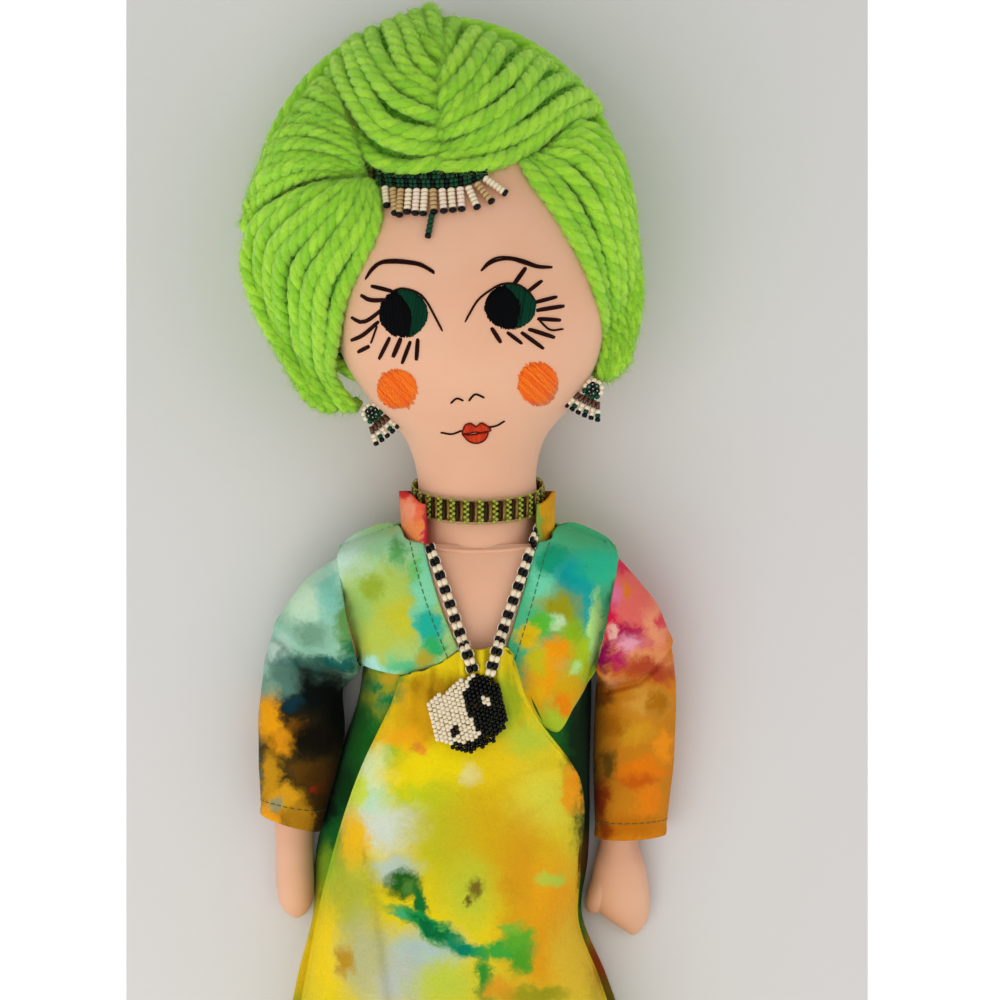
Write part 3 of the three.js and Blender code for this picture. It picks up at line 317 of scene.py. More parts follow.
skin = cotton_skin()


def stuffed(name, part):
    """A sewn and stuffed piece of the body, in the place of the node of its name."""
    made = piece(name, part, [skin])
    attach(made, name)
    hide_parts(name)


head_rows = np.concatenate([np.linspace(NECK_SEAM_Y, HEAD_TOP[0], HEAD_ROWS), HEAD_TOP[1:]])
head_turns = around(HEAD_SIDES)
stuffed("head", lofted(head_ring(head_rows[:, None], head_turns[None, :])))
fibre = finish_of("fibre_filling", "#F4F1EA", 1.0)
for inner in ("head_filling", "torso_filling"):
    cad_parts[inner].data.materials.clear()
    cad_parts[inner].data.materials.append(fibre)

# Face stitching
# Eyes and cheeks are filled with side-by-side stitches, lashes are a few threads laid together, and brows,
# lids, nose and mouth are single lines of back stitch. Places are pixels of the photograph.
THREAD_R = 0.26
LINE_R = 0.34
SATIN_SAMPLES = 160
SATIN_LEAST = 6
LASH_GAPS = (-1.2, 0.0, 1.2)
BROW_GAPS = (-1.6, 0.0, 1.6)
EYE_LEFT = (403.3, 313.2, 24.2, 24.2)
EYE_RIGHT = (510.5, 306.5, 25.6, 22.8)
CHEEK_LEFT = (397, 389, 19.8, 19.8)
CHEEK_RIGHT = (538, 383.5, 19.8, 21.6)
IRIS_LEFT = [(396, 288), (404, 298), (411, 308), (413.5, 320), (411, 339)]
IRIS_RIGHT = [(503, 282), (513, 291), (520, 302), (521.5, 313), (517, 331)]
LASHES_LEFT = [
    [(371, 286), (393, 291.5)], [(361, 295), (366, 298.5), (389, 300)],
    [(351.5, 317), (358, 321.5), (386, 307)], [(351, 340), (358, 337.5), (379, 321)],
    [(358, 352), (370, 346)], [(379, 359), (390, 337)], [(393, 357), (401, 338)],
    [(402, 363.5), (410.5, 341)], [(416.5, 360), (418, 338.5)],
]
LASHES_RIGHT = [
    [(526, 267.5), (513.5, 285)], [(542, 280.5), (526.5, 292.5)], [(557, 296.5), (534, 302.5)],
    [(564, 306), (536, 310.5)], [(560.5, 320), (537, 318.5)], [(554.5, 337.5), (528, 329)],
    [(543.5, 348.5), (521, 332)], [(522, 343.5), (507, 332)], [(501, 342.5), (491.5, 327.5)],
]
FINE_LINES = [
    [(442.5, 331), (433, 313), (427.5, 303), (421, 295), (411, 290), (400, 288.5), (391, 292)],
    [(465, 322), (471, 311), (478, 300), (489, 291), (502, 284), (516, 284), (528, 291), (536, 302)],
    [(377, 326), (371, 343)], [(539, 320), (551, 330), (563, 329)],
    [(451, 403), (457, 398.5), (463, 400.5)], [(469, 400.5), (475, 394.5), (484, 397.5)],
    [(441, 432.5), (452, 434), (462, 430.5)], [(487, 427.5), (497, 425.5), (504.5, 421)],
]
BROWS = [
    [(365.5, 279), (372, 269), (380, 263), (393, 261), (407, 262), (420, 264.5), (434.5, 272.5)],
    [(481, 271), (488, 264), (496, 260), (510, 258.5), (524, 262), (538, 266.5), (552, 267)],
]
BROW_THICK = (0.4, 0.8, 1.0, 1.0, 0.9, 0.7, 0.3)
LIPS = [
    [(462, 433), (466, 424.5), (471, 423.5), (476, 427), (481, 423), (487, 426), (491, 430), (484, 433),
     (476, 432), (468, 433.5)],
    [(462, 434), (469, 435), (477, 434), (488, 432), (485, 440), (477, 443.5), (469, 441.5)],
]


def frames(path):
    """Tangent and two normals along a path, each carried on from the last with the least turn."""
    tangent = np.gradient(path, axis=0)
    tangent /= np.linalg.norm(tangent, axis=1, keepdims=True) + 1e-12
    start = np.cross(tangent[0], (0.0, 0.0, 1.0))
    if np.linalg.norm(start) < 1e-3:
        start = np.cross(tangent[0], (1.0, 0.0, 0.0))
    normals = [start / np.linalg.norm(start)]
    for way in tangent[1:]:
        side = normals[-1] - way * (normals[-1] @ way)
        normals.append(side / np.linalg.norm(side))
    normals = np.array(normals)
    return tangent, normals, np.cross(tangent, normals)


def tube(path, radius, sides=6):
    """A round closed part along a path; radius is one number or one for each point."""
    _, across, up = frames(path)
    turns = around(sides)
    radius = np.broadcast_to(radius, len(path))[:, None, None]
    ring = across[:, None] * np.cos(turns)[None, :, None] + up[:, None] * np.sin(turns)[None, :, None]
    return lofted(path[:, None] + radius * ring)


def run_of(path):
    """Length along a path at each of its points."""
    return np.concatenate([[0], np.cumsum(np.linalg.norm(np.diff(path, axis=0), axis=1))])


def spaced(path, places):
    """Points of a path at given lengths along it."""
    run = run_of(path)
    return np.stack([np.interp(places, run, path[:, axis]) for axis in range(3)], -1)


def smooth_line(points, count):
    """Count points on a smooth line through the given ones, evenly by their own length."""
    points = np.array(points, float)
    steps = run_of(points)
    if len(points) == 2:
        return points[0] + (points[1] - points[0]) * np.linspace(0, 1, count)[:, None]
    return spline(np.column_stack([steps, points]).tolist())(np.linspace(0, steps[-1], count))


def sewn(line, radius, count=9, lift=0.15):
    """A thread on the face along a pixel line; its ends dip through the cotton."""
    pixels = smooth_line(line, count)
    dip = np.zeros(count)
    dip[[0, -1]] = -1.2 * radius
    path = on_face(pixels[:, 0], pixels[:, 1], lift)
    path[:, 2] += dip
    return tube(path, radius)


def lash(line, rng):
    """Three threads side by side that meet at the tip."""
    pixels = smooth_line(line, 9)
    way = np.gradient(pixels, axis=0)
    side = np.stack([-way[:, 1], way[:, 0]], 1) / np.linalg.norm(way, axis=1, keepdims=True)
    spread = np.sin(np.linspace(0.7, np.pi - 0.7, 9))[:, None]
    return [sewn(pixels + side * spread * gap + rng.normal(0, 0.15, 2), LINE_R, lift=0.12)
            for gap in LASH_GAPS]


def inside(polygon, x, y):
    """Whether points lie in a polygon, by counting the edges to their right."""
    hit = np.zeros(np.shape(x), bool)
    for (ax, ay), (bx, by) in zip(polygon, polygon[1:] + polygon[:1]):
        crosses = (ay > y) != (by > y)
        hit ^= crosses & (x < (bx - ax) * (y - ay) / (by - ay + 1e-12) + ax)
    return hit


def satin(region, lean, pitch, rng, ragged, lift=0.25):
    """Side-by-side threads over a pixel region: straight lines at one lean, cut where the region ends."""
    box = np.array(region)
    centre = box.mean(0)
    reach = np.abs(box - centre).max() * 1.5
    way = np.array([np.cos(lean), np.sin(lean)])
    side = np.array([-way[1], way[0]])
    threads = []
    for offset in np.arange(-reach, reach, pitch):
        along = np.linspace(-reach, reach, SATIN_SAMPLES)
        line = centre + side * offset + way * along[:, None]
        kept = np.flatnonzero(inside(region, line[:, 0], line[:, 1]))
        if len(kept) < SATIN_LEAST:
            continue
        ends = line[[kept[0], kept[-1]]] + way * rng.normal(0, ragged, (2, 1))
        threads.append(sewn([tuple(ends[0]), tuple(ends[1])], THREAD_R * rng.uniform(0.9, 1.15),
                            count=7, lift=lift + rng.normal(0, 0.05)))
    return threads


def oval_region(oval, count=40):
    """Pixel outline of an oval (x, y, half width, half height)."""
    turns = around(count)
    return [(oval[0] + oval[2] * np.cos(t), oval[1] + oval[3] * np.sin(t)) for t in turns]


def thread_finish(name, tint, deep, sheen=0.2):
    """Stranded cotton with a soft lustre; the shade of each thread is its own."""
    material = finish_of(name, tint, 0.55, Sheen_Weight=sheen, Specular_IOR_Level=0.08)
    tree = material.node_tree
    shade = add_node(tree, "ShaderNodeAttribute", attribute_name="shade")
    mix = add_node(tree, "ShaderNodeMix", {0: shade.outputs["Fac"], 6: linear(tint), 7: linear(deep)},
                   data_type="RGBA")
    tree.links.new(mix.outputs[2], tree.nodes["Principled BSDF"].inputs["Base Color"])
    return material


def shaded(parts, rng):
    """One random shade for each part, repeated over its points."""
    return np.concatenate([np.full(len(part[0]), rng.random()) for part in parts])


def stitched(name, groups, nodes, seed):
    """A piece of face stitching from (parts, material) groups."""
    rng = np.random.default_rng(seed)
    parts = [part for group, _ in groups for part in group]
    order = [k for k, (group, _) in enumerate(groups) for _ in group]
    made = piece(name, joined(parts), [material for _, material in groups], picks_of(parts, order),
                 shaded(parts, rng))
    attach(made, "head")
    if nodes:
        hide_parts(*nodes)


black_thread = thread_finish("black_thread", "#030405", "#08090C", 0.02)
emerald_thread = thread_finish("emerald_thread", "#0A4E34", "#063624", 0.03)
brown_thread = thread_finish("brown_thread", "#3A140D", "#240B07", 0.03)
orange_thread = thread_finish("orange_thread", "#FF9626", "#F2660E")
red_thread = thread_finish("red_thread", "#E2521F", "#C43414")
maroon_thread = thread_finish("maroon_thread", "#7A1C0C", "#5E1408", 0.05)
for side, eye, iris, lashes, seed in (("left", EYE_LEFT, IRIS_LEFT, LASHES_LEFT, 3),
                                      ("right", EYE_RIGHT, IRIS_RIGHT, LASHES_RIGHT, 4)):
    rng = np.random.default_rng(seed)
    whole = oval_region(eye)
    rim_x = np.interp([y for _, y in whole], [p[1] for p in iris], [p[0] for p in iris])
    dark = [(min(x, limit + 1.5), y) for (x, y), limit in zip(whole, rim_x)]
    green = [(max(x, limit - 1.5), y) for (x, y), limit in zip(whole, rim_x)]
    stitched(f"eye_{side}", [(satin(dark, 1.5, 1.05, rng, 0.5), black_thread),
                             (satin(green, 1.72, 1.05, rng, 0.4, lift=0.3), emerald_thread)],
             [f"eye_{side}"], seed)
    stitched(f"lashes_{side}", [([part for line in lashes for part in lash(line, rng)], brown_thread)],
             [], seed + 10)
for side, cheek, seed in (("left", CHEEK_LEFT, 5), ("right", CHEEK_RIGHT, 6)):
    rng = np.random.default_rng(seed)
    threads = satin(oval_region(cheek), 1.05, 1.2, rng, 0.9)
    threads += satin(oval_region(cheek), 0.75, 1.9, rng, 1.6, lift=0.45)
    stitched(f"cheek_{side}", [(threads, orange_thread)], [f"cheek_{side}"], seed)
rng = np.random.default_rng(7)
lip_fill = satin(LIPS[0], 1.45, 1.1, rng, 0.4) + satin(LIPS[1], 1.6, 1.1, rng, 0.4)
lip_lines = [sewn(line + line[:1], THREAD_R, 25, 0.5) for line in LIPS]
stitched("lips", [(lip_fill, red_thread), (lip_lines, maroon_thread)], ["lips"], 7)
brow_threads = []
for brow in BROWS:
    for gap in BROW_GAPS:
        line = [(x, y + gap * thick + rng.normal(0, 0.35)) for (x, y), thick in zip(brow, BROW_THICK)]
        brow_threads.append(sewn(line, LINE_R, 25))
fine_threads = [sewn(line, LINE_R * 1.15, 17) for line in FINE_LINES]
stitched("face_lines", [(brow_threads + fine_threads, brown_thread)], [], 8)

# Yarn hair
# Thick lime yarn laid side by side in bundles: two over the crown, two gathered at the left temple, one
# swept down the right side, and rows round the back. A bundle is its number of strands, the number of rows
# below its outer strand, how deep its tips are tucked, and guide strands in X and Y.
HAIR_FLOOR = 40.0
HAIR_RISE = 46.0
HAIR_MIDDLE = (-14.0, 195.0)
HAIR_REACH_X = (75.0, 80.0)
HAIR_REACH_Y = (81.0, 78.0)
CROWN_Y = 233.0
YARN_R = 2.9
YARN_PITCH = 15.0
PLY_OFFSET = 0.37
PLY_SIZE = 0.7
YARN_STEPS = 84
FUZZ_PER_STRAND = 1650
FUZZ_R = 0.048
FUZZ_BELOW = 240
FUZZ_BACK = 100
WALL_STEP = 4.0
WALL_IN = 1.3
WALL_SHORT = 18
CORE_TRIMS = ((2, 4), (14, 20))
CORE_SINK = 1.5
EDGE_DROP = 0.22
ROOT_DROP = 0.16
ROOT_SHARE = 0.3
TAIL_STEPS = 8
TAIL_IN = 3.0
ROOT_DIP = 3.0
TABLE_GAP = 0.1
# The third hair tint is painted shade: a deep green on the yarn under the strands, for the gaps between
# them.
HAIR_TINTS = ("#C8FA40", "#A0E222", "#4E9C10")
BUNDLES = {
    "hair_crown_left": (9, 0, 24.0, [
        [(-11.6, 203.8), (-25.7, 202.6), (-38.2, 208.6), (-47.4, 222.6), (-53.6, 236.6), (-56.4, 244.6)],
        [(-12.4, 213.6), (-25, 218.2), (-36.5, 226.6), (-45.5, 236.3), (-50.9, 247.3), (-52.4, 251)],
        [(-12.6, 225), (-25.1, 233), (-34.7, 241.9), (-42.1, 252.8), (-45.9, 258.4)],
        [(-12.8, 236), (-21.4, 244.2), (-27.4, 253.4), (-32.7, 264)],
        [(-12.6, 249), (-13.6, 257.5), (-14.6, 264), (-16.6, 270.5)],
    ]),
    "hair_crown_right": (9, 0, 24.0, [
        [(-14.6, 203.8), (-2.9, 203.6), (9.4, 206), (19, 211), (31.7, 223.6), (41.8, 230)],
        [(-14.6, 210.4), (-0.2, 218.4), (14.1, 223.7), (28.5, 228.8), (43.4, 235.5)],
        [(-14.6, 217.2), (-4.6, 226.9), (5.5, 236.3), (17, 244.1), (30.9, 246)],
        [(-14.8, 224), (-10.2, 233.3), (-4.2, 243.5), (2.9, 251.9), (10.2, 256)],
        [(-13.8, 229.5), (-13.4, 240.2), (-12.8, 251.5), (-11.6, 266)],
    ]),
    "hair_left_upper": (9, 0, 12.0, [
        [(-40.6, 204.4), (-54.9, 204), (-70.4, 200.6), (-82, 194), (-86, 185)],
        [(-41.4, 206.2), (-52.4, 212), (-65.9, 213.5), (-77.5, 207.5), (-83.5, 197)],
        [(-42.1, 208.8), (-50.2, 217.2), (-60.5, 222.5), (-70.5, 219.5), (-77.5, 210)],
        [(-43.2, 212), (-48, 221), (-53.5, 229.5), (-62, 231), (-68.5, 224)],
        [(-44.6, 215.4), (-48.6, 224.5), (-51.5, 233.5), (-56, 240.5), (-61, 238)],
    ]),
    "hair_left_lower": (8, 5, 7.0, [
        [(-37, 200.7), (-34.5, 189.3), (-40.4, 172.9), (-46.8, 159.9), (-50.2, 145.5), (-51.8, 132.4),
         (-44.9, 121)],
        [(-37.7, 200.7), (-41, 189.8), (-47.6, 176), (-54.5, 162.3), (-59.6, 148.6), (-60.9, 134.6),
         (-56.9, 121)],
        [(-38.5, 200.7), (-47.9, 197.2), (-57.4, 188.8), (-64.8, 174), (-69.9, 160.4), (-71.5, 147.5),
         (-62.7, 124.3)],
        [(-39.2, 201.1), (-54.1, 200.4), (-69.9, 195.8), (-82.5, 188.4), (-86.6, 179), (-82, 160),
         (-67.8, 133.4)],
    ]),
    "hair_right": (7, 6, 7.0, [
        [(15.1, 207.3), (20.1, 199.2), (28.3, 188.6), (37.3, 175.6), (43.2, 163), (46.5, 152.2),
         (44.8, 133.1)],
        [(19.7, 210), (27.3, 203.9), (36.7, 192.8), (45.2, 180), (51.1, 166.5), (54.2, 153.7),
         (48.1, 132.3)],
        [(24.4, 212.1), (35.2, 209.5), (44.8, 200.8), (51.5, 188.1), (55.6, 175.4), (57.4, 158.1),
         (51.9, 134.6)],
        [(28.5, 217.2), (40.5, 224.5), (49.5, 218), (54, 206), (57, 186), (60, 162.5), (55.6, 139.1)],
    ]),
}
BACK_HAIR = (-14, 195, 71.5, 74, 41.5)
RIM_ROWS = [(4.4, 43.0), (4.6, 38.4), (5.4, 33.8)]
RIM_STEPS = 300
BACK_LEAN = (-1.32, 1.3)
BACK_ROWS = 33
BOWL_IN = 9
BOWL_UP = 6
BOWL_LOW = 4
BOWL_SIDES = 48


def hair_dome(x, y):
    """Height of hair over its floor, about its middle: rise * sqrt(1 - (x / reach)^2 - (y / reach)^2)."""
    across = (x - HAIR_MIDDLE[0]) / np.where(x < HAIR_MIDDLE[0], *HAIR_REACH_X)
    along = (y - HAIR_MIDDLE[1]) / np.where(y < HAIR_MIDDLE[1], *HAIR_REACH_Y)
    return HAIR_RISE * np.sqrt(np.maximum(0, 1 - across**2 - along**2))


def bundle_strands(count, walls, tuck, guides, rng):
    """Strand centre lines of a bundle: evenly spaced between guide strands, over dome and head."""
    v = np.linspace(0, 1, YARN_STEPS)
    u = np.linspace(0, 1, 90)
    lines = np.stack([smooth_line(guide, YARN_STEPS).ravel() for guide in guides])
    stations = np.column_stack([np.linspace(0, 1, len(guides)), lines])
    plan = spline(stations.tolist())(u).reshape(len(u), YARN_STEPS, 2).transpose(1, 0, 2)
    side = 1 - EDGE_DROP * np.abs(2 * u - 1) ** 4
    root = 1 - ROOT_DROP * np.maximum(0, 1 - v / ROOT_SHARE) ** 2
    tip = np.sqrt(np.maximum(0, 1 - v**6))
    z = HAIR_FLOOR + hair_dome(plan[..., 0], plan[..., 1]) * side * (root * tip)[:, None]
    over_head = np.where(plan[..., 1] < CROWN_Y, face_z(plan[..., 0], plan[..., 1]), 0) + 1.5 * YARN_R
    field = np.concatenate([plan, np.maximum(z, over_head)[..., None]], -1)
    arc = np.concatenate([np.zeros((YARN_STEPS, 1)),
                          np.cumsum(np.linalg.norm(np.diff(field, axis=1), axis=2), axis=1)], axis=1)
    strands = []
    for k in range(count):
        wander = 0.16 * np.sin(v * rng.uniform(3, 7) + rng.uniform(0, 6))
        share = (k + 0.5 + wander) / count * arc[:, -1]
        path = np.stack([[np.interp(share[i], arc[i], field[i, :, axis]) for axis in range(3)]
                         for i in range(YARN_STEPS)])
        size = np.clip(arc[:, -1] / (2 * count) * 1.2, 2.1, YARN_R * 1.1) * rng.uniform(0.94, 1.05)
        path[:, 2] -= 0.7 * size - rng.uniform(-0.6, 0.6) + ROOT_DIP * np.maximum(0, 1 - v / 0.07) ** 2
        inward = np.array(HAIR_MIDDLE) - path[-1, :2]
        inward /= np.linalg.norm(inward)
        down = np.linspace(0.12, 1, TAIL_STEPS)[:, None]
        tail = path[-1] + tuck * down * [0, 0, -1] + TAIL_IN * down**2 * [inward[0], inward[1], 0]
        size = np.concatenate([size, np.full(TAIL_STEPS, size[-1])])
        strands.append((np.concatenate([path, tail]), size, FUZZ_PER_STRAND))
    outer, size = strands[-1][0][:-WALL_SHORT], strands[-1][1][:-WALL_SHORT]
    inward = np.array(HAIR_MIDDLE) - outer[:, :2]
    inward /= np.linalg.norm(inward, axis=1, keepdims=True)
    for row in range(1, walls + 1):
        below = outer + np.column_stack([WALL_IN * row * inward, np.full(len(outer), -WALL_STEP * row)])
        strands.append((below, size, FUZZ_BELOW))
    return strands, field


def yarn(path, size):
    """Three plies twisted round a centre line."""
    _, across, up = frames(path)
    run = run_of(path)
    plies = []
    for k in range(3):
        turn = 2 * np.pi * (k / 3 - run / YARN_PITCH)
        offset = across * np.cos(turn)[:, None] + up * np.sin(turn)[:, None]
        plies.append(tube(path + PLY_OFFSET * size[:, None] * offset, PLY_SIZE * size))
    return plies


def fuzz(path, size, rng, count):
    """Fine loose fibres that stand off a strand: thin needles of three sides that curl along it."""
    tangent, across, up = frames(path)
    pick = rng.integers(1, len(path) - 1, count)
    turn = rng.uniform(0, 2 * np.pi, count)
    out = across[pick] * np.cos(turn)[:, None] + up[pick] * np.sin(turn)[:, None]
    way = out * rng.uniform(0.25, 0.8, (count, 1)) + tangent[pick] * rng.normal(0, 1, (count, 1))
    way /= np.linalg.norm(way, axis=1, keepdims=True)
    root = path[pick] + out * (size[pick] * 0.8)[:, None]
    length = rng.gamma(3.0, 0.75, (count, 1)) + 0.6
    mid = root + way * length * 0.5 + out * length * 0.12
    tip = root + way * length - out * length * rng.uniform(-0.1, 0.25, (count, 1))
    side = np.cross(way, out) + 1e-6
    side /= np.linalg.norm(side, axis=1, keepdims=True)
    third = np.cross(way, side)
    turns = around(3)
    ring = side[:, None] * np.cos(turns)[None, :, None] + third[:, None] * np.sin(turns)[None, :, None]
    rings = [root[:, None] + ring * FUZZ_R, mid[:, None] + ring * FUZZ_R * 0.8, tip[:, None]]
    points = np.concatenate(rings, 1)
    points[..., 2] = np.maximum(points[..., 2], TABLE_GAP)
    base = np.arange(count)[:, None] * 7
    quads = np.concatenate([base + np.array([[k, (k + 1) % 3, 3 + (k + 1) % 3, 3 + k]]) for k in range(3)])
    tris = np.concatenate([base + np.array([[3 + k, 3 + (k + 1) % 3, 6]]) for k in range(3)]
                          + [base + np.array([[2, 1, 0]])])
    return points.reshape(-1, 3), quads, tris


# The core is coloured deep green: painted shade for the gaps between the strands.
def core(field, short, inset):
    """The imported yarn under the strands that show: the bundle's own dome, sunk below them, closed
    underneath and ended short of the tips and of the outer strand."""
    top = field[2:-short:4, 4:-inset:4].copy()
    top[..., 2] = np.maximum(top[..., 2] - CORE_SINK * YARN_R, HAIR_FLOOR + 0.4)
    low = top.copy()
    low[..., 2] = HAIR_FLOOR
    rows, columns = top.shape[:2]
    a = (np.arange(rows - 1)[:, None] * columns + np.arange(columns - 1)).reshape(-1)
    upper = np.stack([a, a + 1, a + columns + 1, a + columns], -1)
    lower = upper[:, ::-1] + rows * columns
    rim = np.concatenate([np.arange(columns), np.arange(1, rows) * columns + columns - 1,
                          (rows - 1) * columns + np.arange(columns - 2, -1, -1),
                          np.arange(rows - 2, 0, -1) * columns])
    after = np.roll(rim, -1)
    walls = np.stack([rim + rows * columns, after + rows * columns, after, rim], -1)
    points = np.concatenate([top.reshape(-1, 3), low.reshape(-1, 3)])
    return outward((points, np.concatenate([upper, lower, walls]), np.zeros((0, 3), int)))


def yarn_finish():
    """Soft acrylic yarn: light on the crowns of the plies, with a fibrous bump. The deep green between
    them is painted shade on the yarn below.
    """
    material = finish_of("lime_yarn", HAIR_TINTS[0], 0.95, Sheen_Weight=0.35, Sheen_Roughness=0.6,
                         Subsurface_Weight=0.12)
    tree = material.node_tree
    shader = tree.nodes["Principled BSDF"]
    shader.inputs["Subsurface Radius"].default_value = (0.0015, 0.003, 0.0006)
    place = add_node(tree, "ShaderNodeTexCoord").outputs["Object"]
    shade = add_node(tree, "ShaderNodeAttribute", attribute_name="shade")
    cloud = add_node(tree, "ShaderNodeTexNoise",
                     {"Vector": place, "Scale": 520.0, "Detail": 5.0, "Roughness": 0.75})
    blend = add_node(tree, "ShaderNodeMath", {0: cloud.outputs["Fac"], 1: shade.outputs["Fac"]},
                     operation="ADD")
    ramp = add_node(tree, "ShaderNodeMapRange", {0: blend.outputs[0], 1: 0.35, 2: 1.5})
    tint = add_node(tree, "ShaderNodeMix",
                    {0: ramp.outputs[0], 6: linear(HAIR_TINTS[0]), 7: linear(HAIR_TINTS[1])},
                    data_type="RGBA")
    tree.links.new(tint.outputs[2], shader.inputs["Base Color"])
    grain = add_node(tree, "ShaderNodeTexNoise",
                     {"Vector": place, "Scale": 1100.0, "Detail": 4.0, "Roughness": 0.7})
    bump = add_node(tree, "ShaderNodeBump",
                    {"Height": grain.outputs["Fac"], "Strength": 0.9, "Distance": 0.0009})
    tree.links.new(bump.outputs["Normal"], shader.inputs["Normal"])
    return material


lime_yarn = yarn_finish()
# The yarn under the strands and rows is painted shade: deep green where the gaps between strands would be
# dark.
shade_painted_yarn = finish_of("shade_painted_yarn", HAIR_TINTS[2], 1.0)


def hair_piece(name, strands, base_parts, rng):
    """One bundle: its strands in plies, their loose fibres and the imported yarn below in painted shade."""
    plies = [ply for path, size, _ in strands for ply in yarn(path, size)]
    shades = shaded(plies, rng)
    loose = [fuzz(path, size, rng, count) for path, size, count in strands]
    parts = plies + loose + base_parts
    shades = np.concatenate([shades, np.zeros(sum(len(part[0]) for part in loose + base_parts))])
    kinds = [0] * (len(plies) + len(loose)) + [1] * len(base_parts)
    made = piece(name, joined(parts), [lime_yarn, shade_painted_yarn], picks_of(parts, kinds), shades)
    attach(made, "head")
    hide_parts(name)


for seed, (name, bundle) in enumerate(BUNDLES.items()):
    rng = np.random.default_rng(20 + seed)
    strands, field = bundle_strands(*bundle, rng)
    hair_piece(name, strands, [core(field, *CORE_TRIMS[bundle[1] > 0])], rng)


def back_rows(rng):
    """Rows of yarn round the back of the head: arcs across the lower half of an egg shape."""
    cx, cy, wide, tall, deep = BACK_HAIR
    lean = np.linspace(*BACK_LEAN, BACK_ROWS)
    rows = []
    for angle in lean + rng.normal(0, 0.006, len(lean)):
        y = cy + (tall - 2.6 * YARN_R) * np.sin(angle)
        reach = np.cos(angle)
        turn = np.linspace(0.03, np.pi - 0.03, YARN_STEPS)
        x = cx - (wide - 2.6 * YARN_R) * reach * np.cos(turn)
        z = HAIR_FLOOR - YARN_R - (deep - 2 * YARN_R) * reach * np.sin(turn)
        z = np.maximum(z, YARN_R * 1.15)
        rows.append((np.stack([x, y + 0 * x, z], -1), np.full(YARN_STEPS, YARN_R * 1.05), FUZZ_BACK))
    turn = np.linspace(-0.36 * np.pi, 1.36 * np.pi, RIM_STEPS)
    for drawn_in, z in RIM_ROWS:
        path = np.stack([cx + (wide - drawn_in) * np.cos(turn), cy + (tall - drawn_in) * np.sin(turn),
                         np.full(RIM_STEPS, z)], -1)
        rows.append((path, np.full(RIM_STEPS, YARN_R), FUZZ_BELOW))
    return rows


def back_bowl():
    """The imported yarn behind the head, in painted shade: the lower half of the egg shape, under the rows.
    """
    cx, cy, wide, tall, deep = BACK_HAIR
    polar = np.linspace(0.02, np.pi / 2, 18)[:, None]
    turns = around(BOWL_SIDES)
    return np.stack([cx + (wide - BOWL_IN) * np.sin(polar) * np.cos(turns),
                     cy + (tall - BOWL_IN) * np.sin(polar) * np.sin(turns),
                     np.maximum(BOWL_LOW, HAIR_FLOOR - (deep - BOWL_UP) * np.cos(polar) + 0 * turns)], -1)


rng = np.random.default_rng(31)
hair_piece("hair_back", back_rows(rng), [lofted(back_bowl())], rng)

# Forehead band, fringe and earrings
# Seed beads on thread: four dark rows along the hairline, cream strands with dark tips hung below it, one
# longer green drop in the middle, and at each ear a ring of beads with a short fringe.
BEAD_R = 0.92
BEAD_H = 1.6
BAND_ROWS = ((0.0, 0.3), (4.6, 0.6), (9.2, 0.7), (13.6, 0.2))
BAND_LINE = [
    (374, 181), (384, 184.5), (394, 185.5), (410, 186), (432, 186.5), (456, 185), (474, 180), (487, 173),
]
STRAND_TOPS = [
    (385, 187), (393, 188), (401, 189), (409, 189), (417, 189), (425, 189), (433, 189), (442, 189),
    (451, 188.5), (460, 187.5), (468, 186.5), (476, 183), (484, 178),
]
STRAND_ENDS = [
    (387, 207), (395, 215), (399, 217), (407, 214), (415, 215), (423, 215.5), (434, 214), (444, 213),
    (453, 212), (462, 211), (478, 209), (493, 203), (507, 194),
]
DROP_LINE = [(432, 214), (427.5, 238)]
FRINGE_R = 1.4
FRINGE_H = 1.5
FRINGE_KINDS = [
    "cream", "tan", "tan", "cream", "shell", "cream", "tan", "shell", "cream", "shell", "cream", "tan",
    "cream",
]
BEAD_CREAM = "#EFE0C2"
BEAD_BLACK = "#030304"
BEAD_GREEN = "#0A4A2C"
BEAD_BROWN = "#5C3416"


def bead(centre, way, radius, height, sides=12):
    """A seed bead on its thread: a rounded ring with a small hole, its axis along way."""
    way = np.asarray(way, float) / np.linalg.norm(way)
    helper = np.array([0.0, 0.0, 1.0]) if abs(way[2]) < 0.9 else np.array([1.0, 0.0, 0.0])
    across = np.cross(way, helper)
    across /= np.linalg.norm(across)
    up = np.cross(way, across)
    profile = np.array([[0.3, 0.42], [0.72, 0.5], [1.0, 0.22], [1.0, -0.22], [0.72, -0.5], [0.3, -0.42]])
    turns = around(sides)
    ring = across * np.cos(turns)[:, None] + up * np.sin(turns)[:, None]
    points = (np.asarray(centre) + ring[None] * (profile[:, 0] * radius)[:, None, None]
              + (way * (profile[:, 1] * height)[:, None])[:, None])
    k = np.arange(sides)
    nxt = (k + 1) % sides
    quads = np.concatenate([np.stack([r * sides + k, r * sides + nxt, (r + 1) % 6 * sides + nxt,
                                      (r + 1) % 6 * sides + k], -1) for r in range(6)])
    return outward((points.reshape(-1, 3), quads, np.zeros((0, 3), int)))


def bead_finish(name, tint, roughness=0.16):
    """Glass bead, polished."""
    return finish_of(name, tint, roughness, Specular_IOR_Level=0.6, Coat_Weight=0.4, Coat_Roughness=0.08)


BEADS = {
    "cream": bead_finish("cream_beads", BEAD_CREAM),
    "black": finish_of("black_beads", BEAD_BLACK, 0.1, Specular_IOR_Level=0.3),
    "green": finish_of("green_beads", BEAD_GREEN, 0.1, Specular_IOR_Level=0.35),
    "brown": bead_finish("brown_beads", BEAD_BROWN, 0.2),
    "tan": bead_finish("tan_beads", "#C9A873"),
    "shell": bead_finish("shell_beads", "#F2DDC9"),
    "thread": finish_of("bead_thread", "#F2EAD8", 0.7),
}


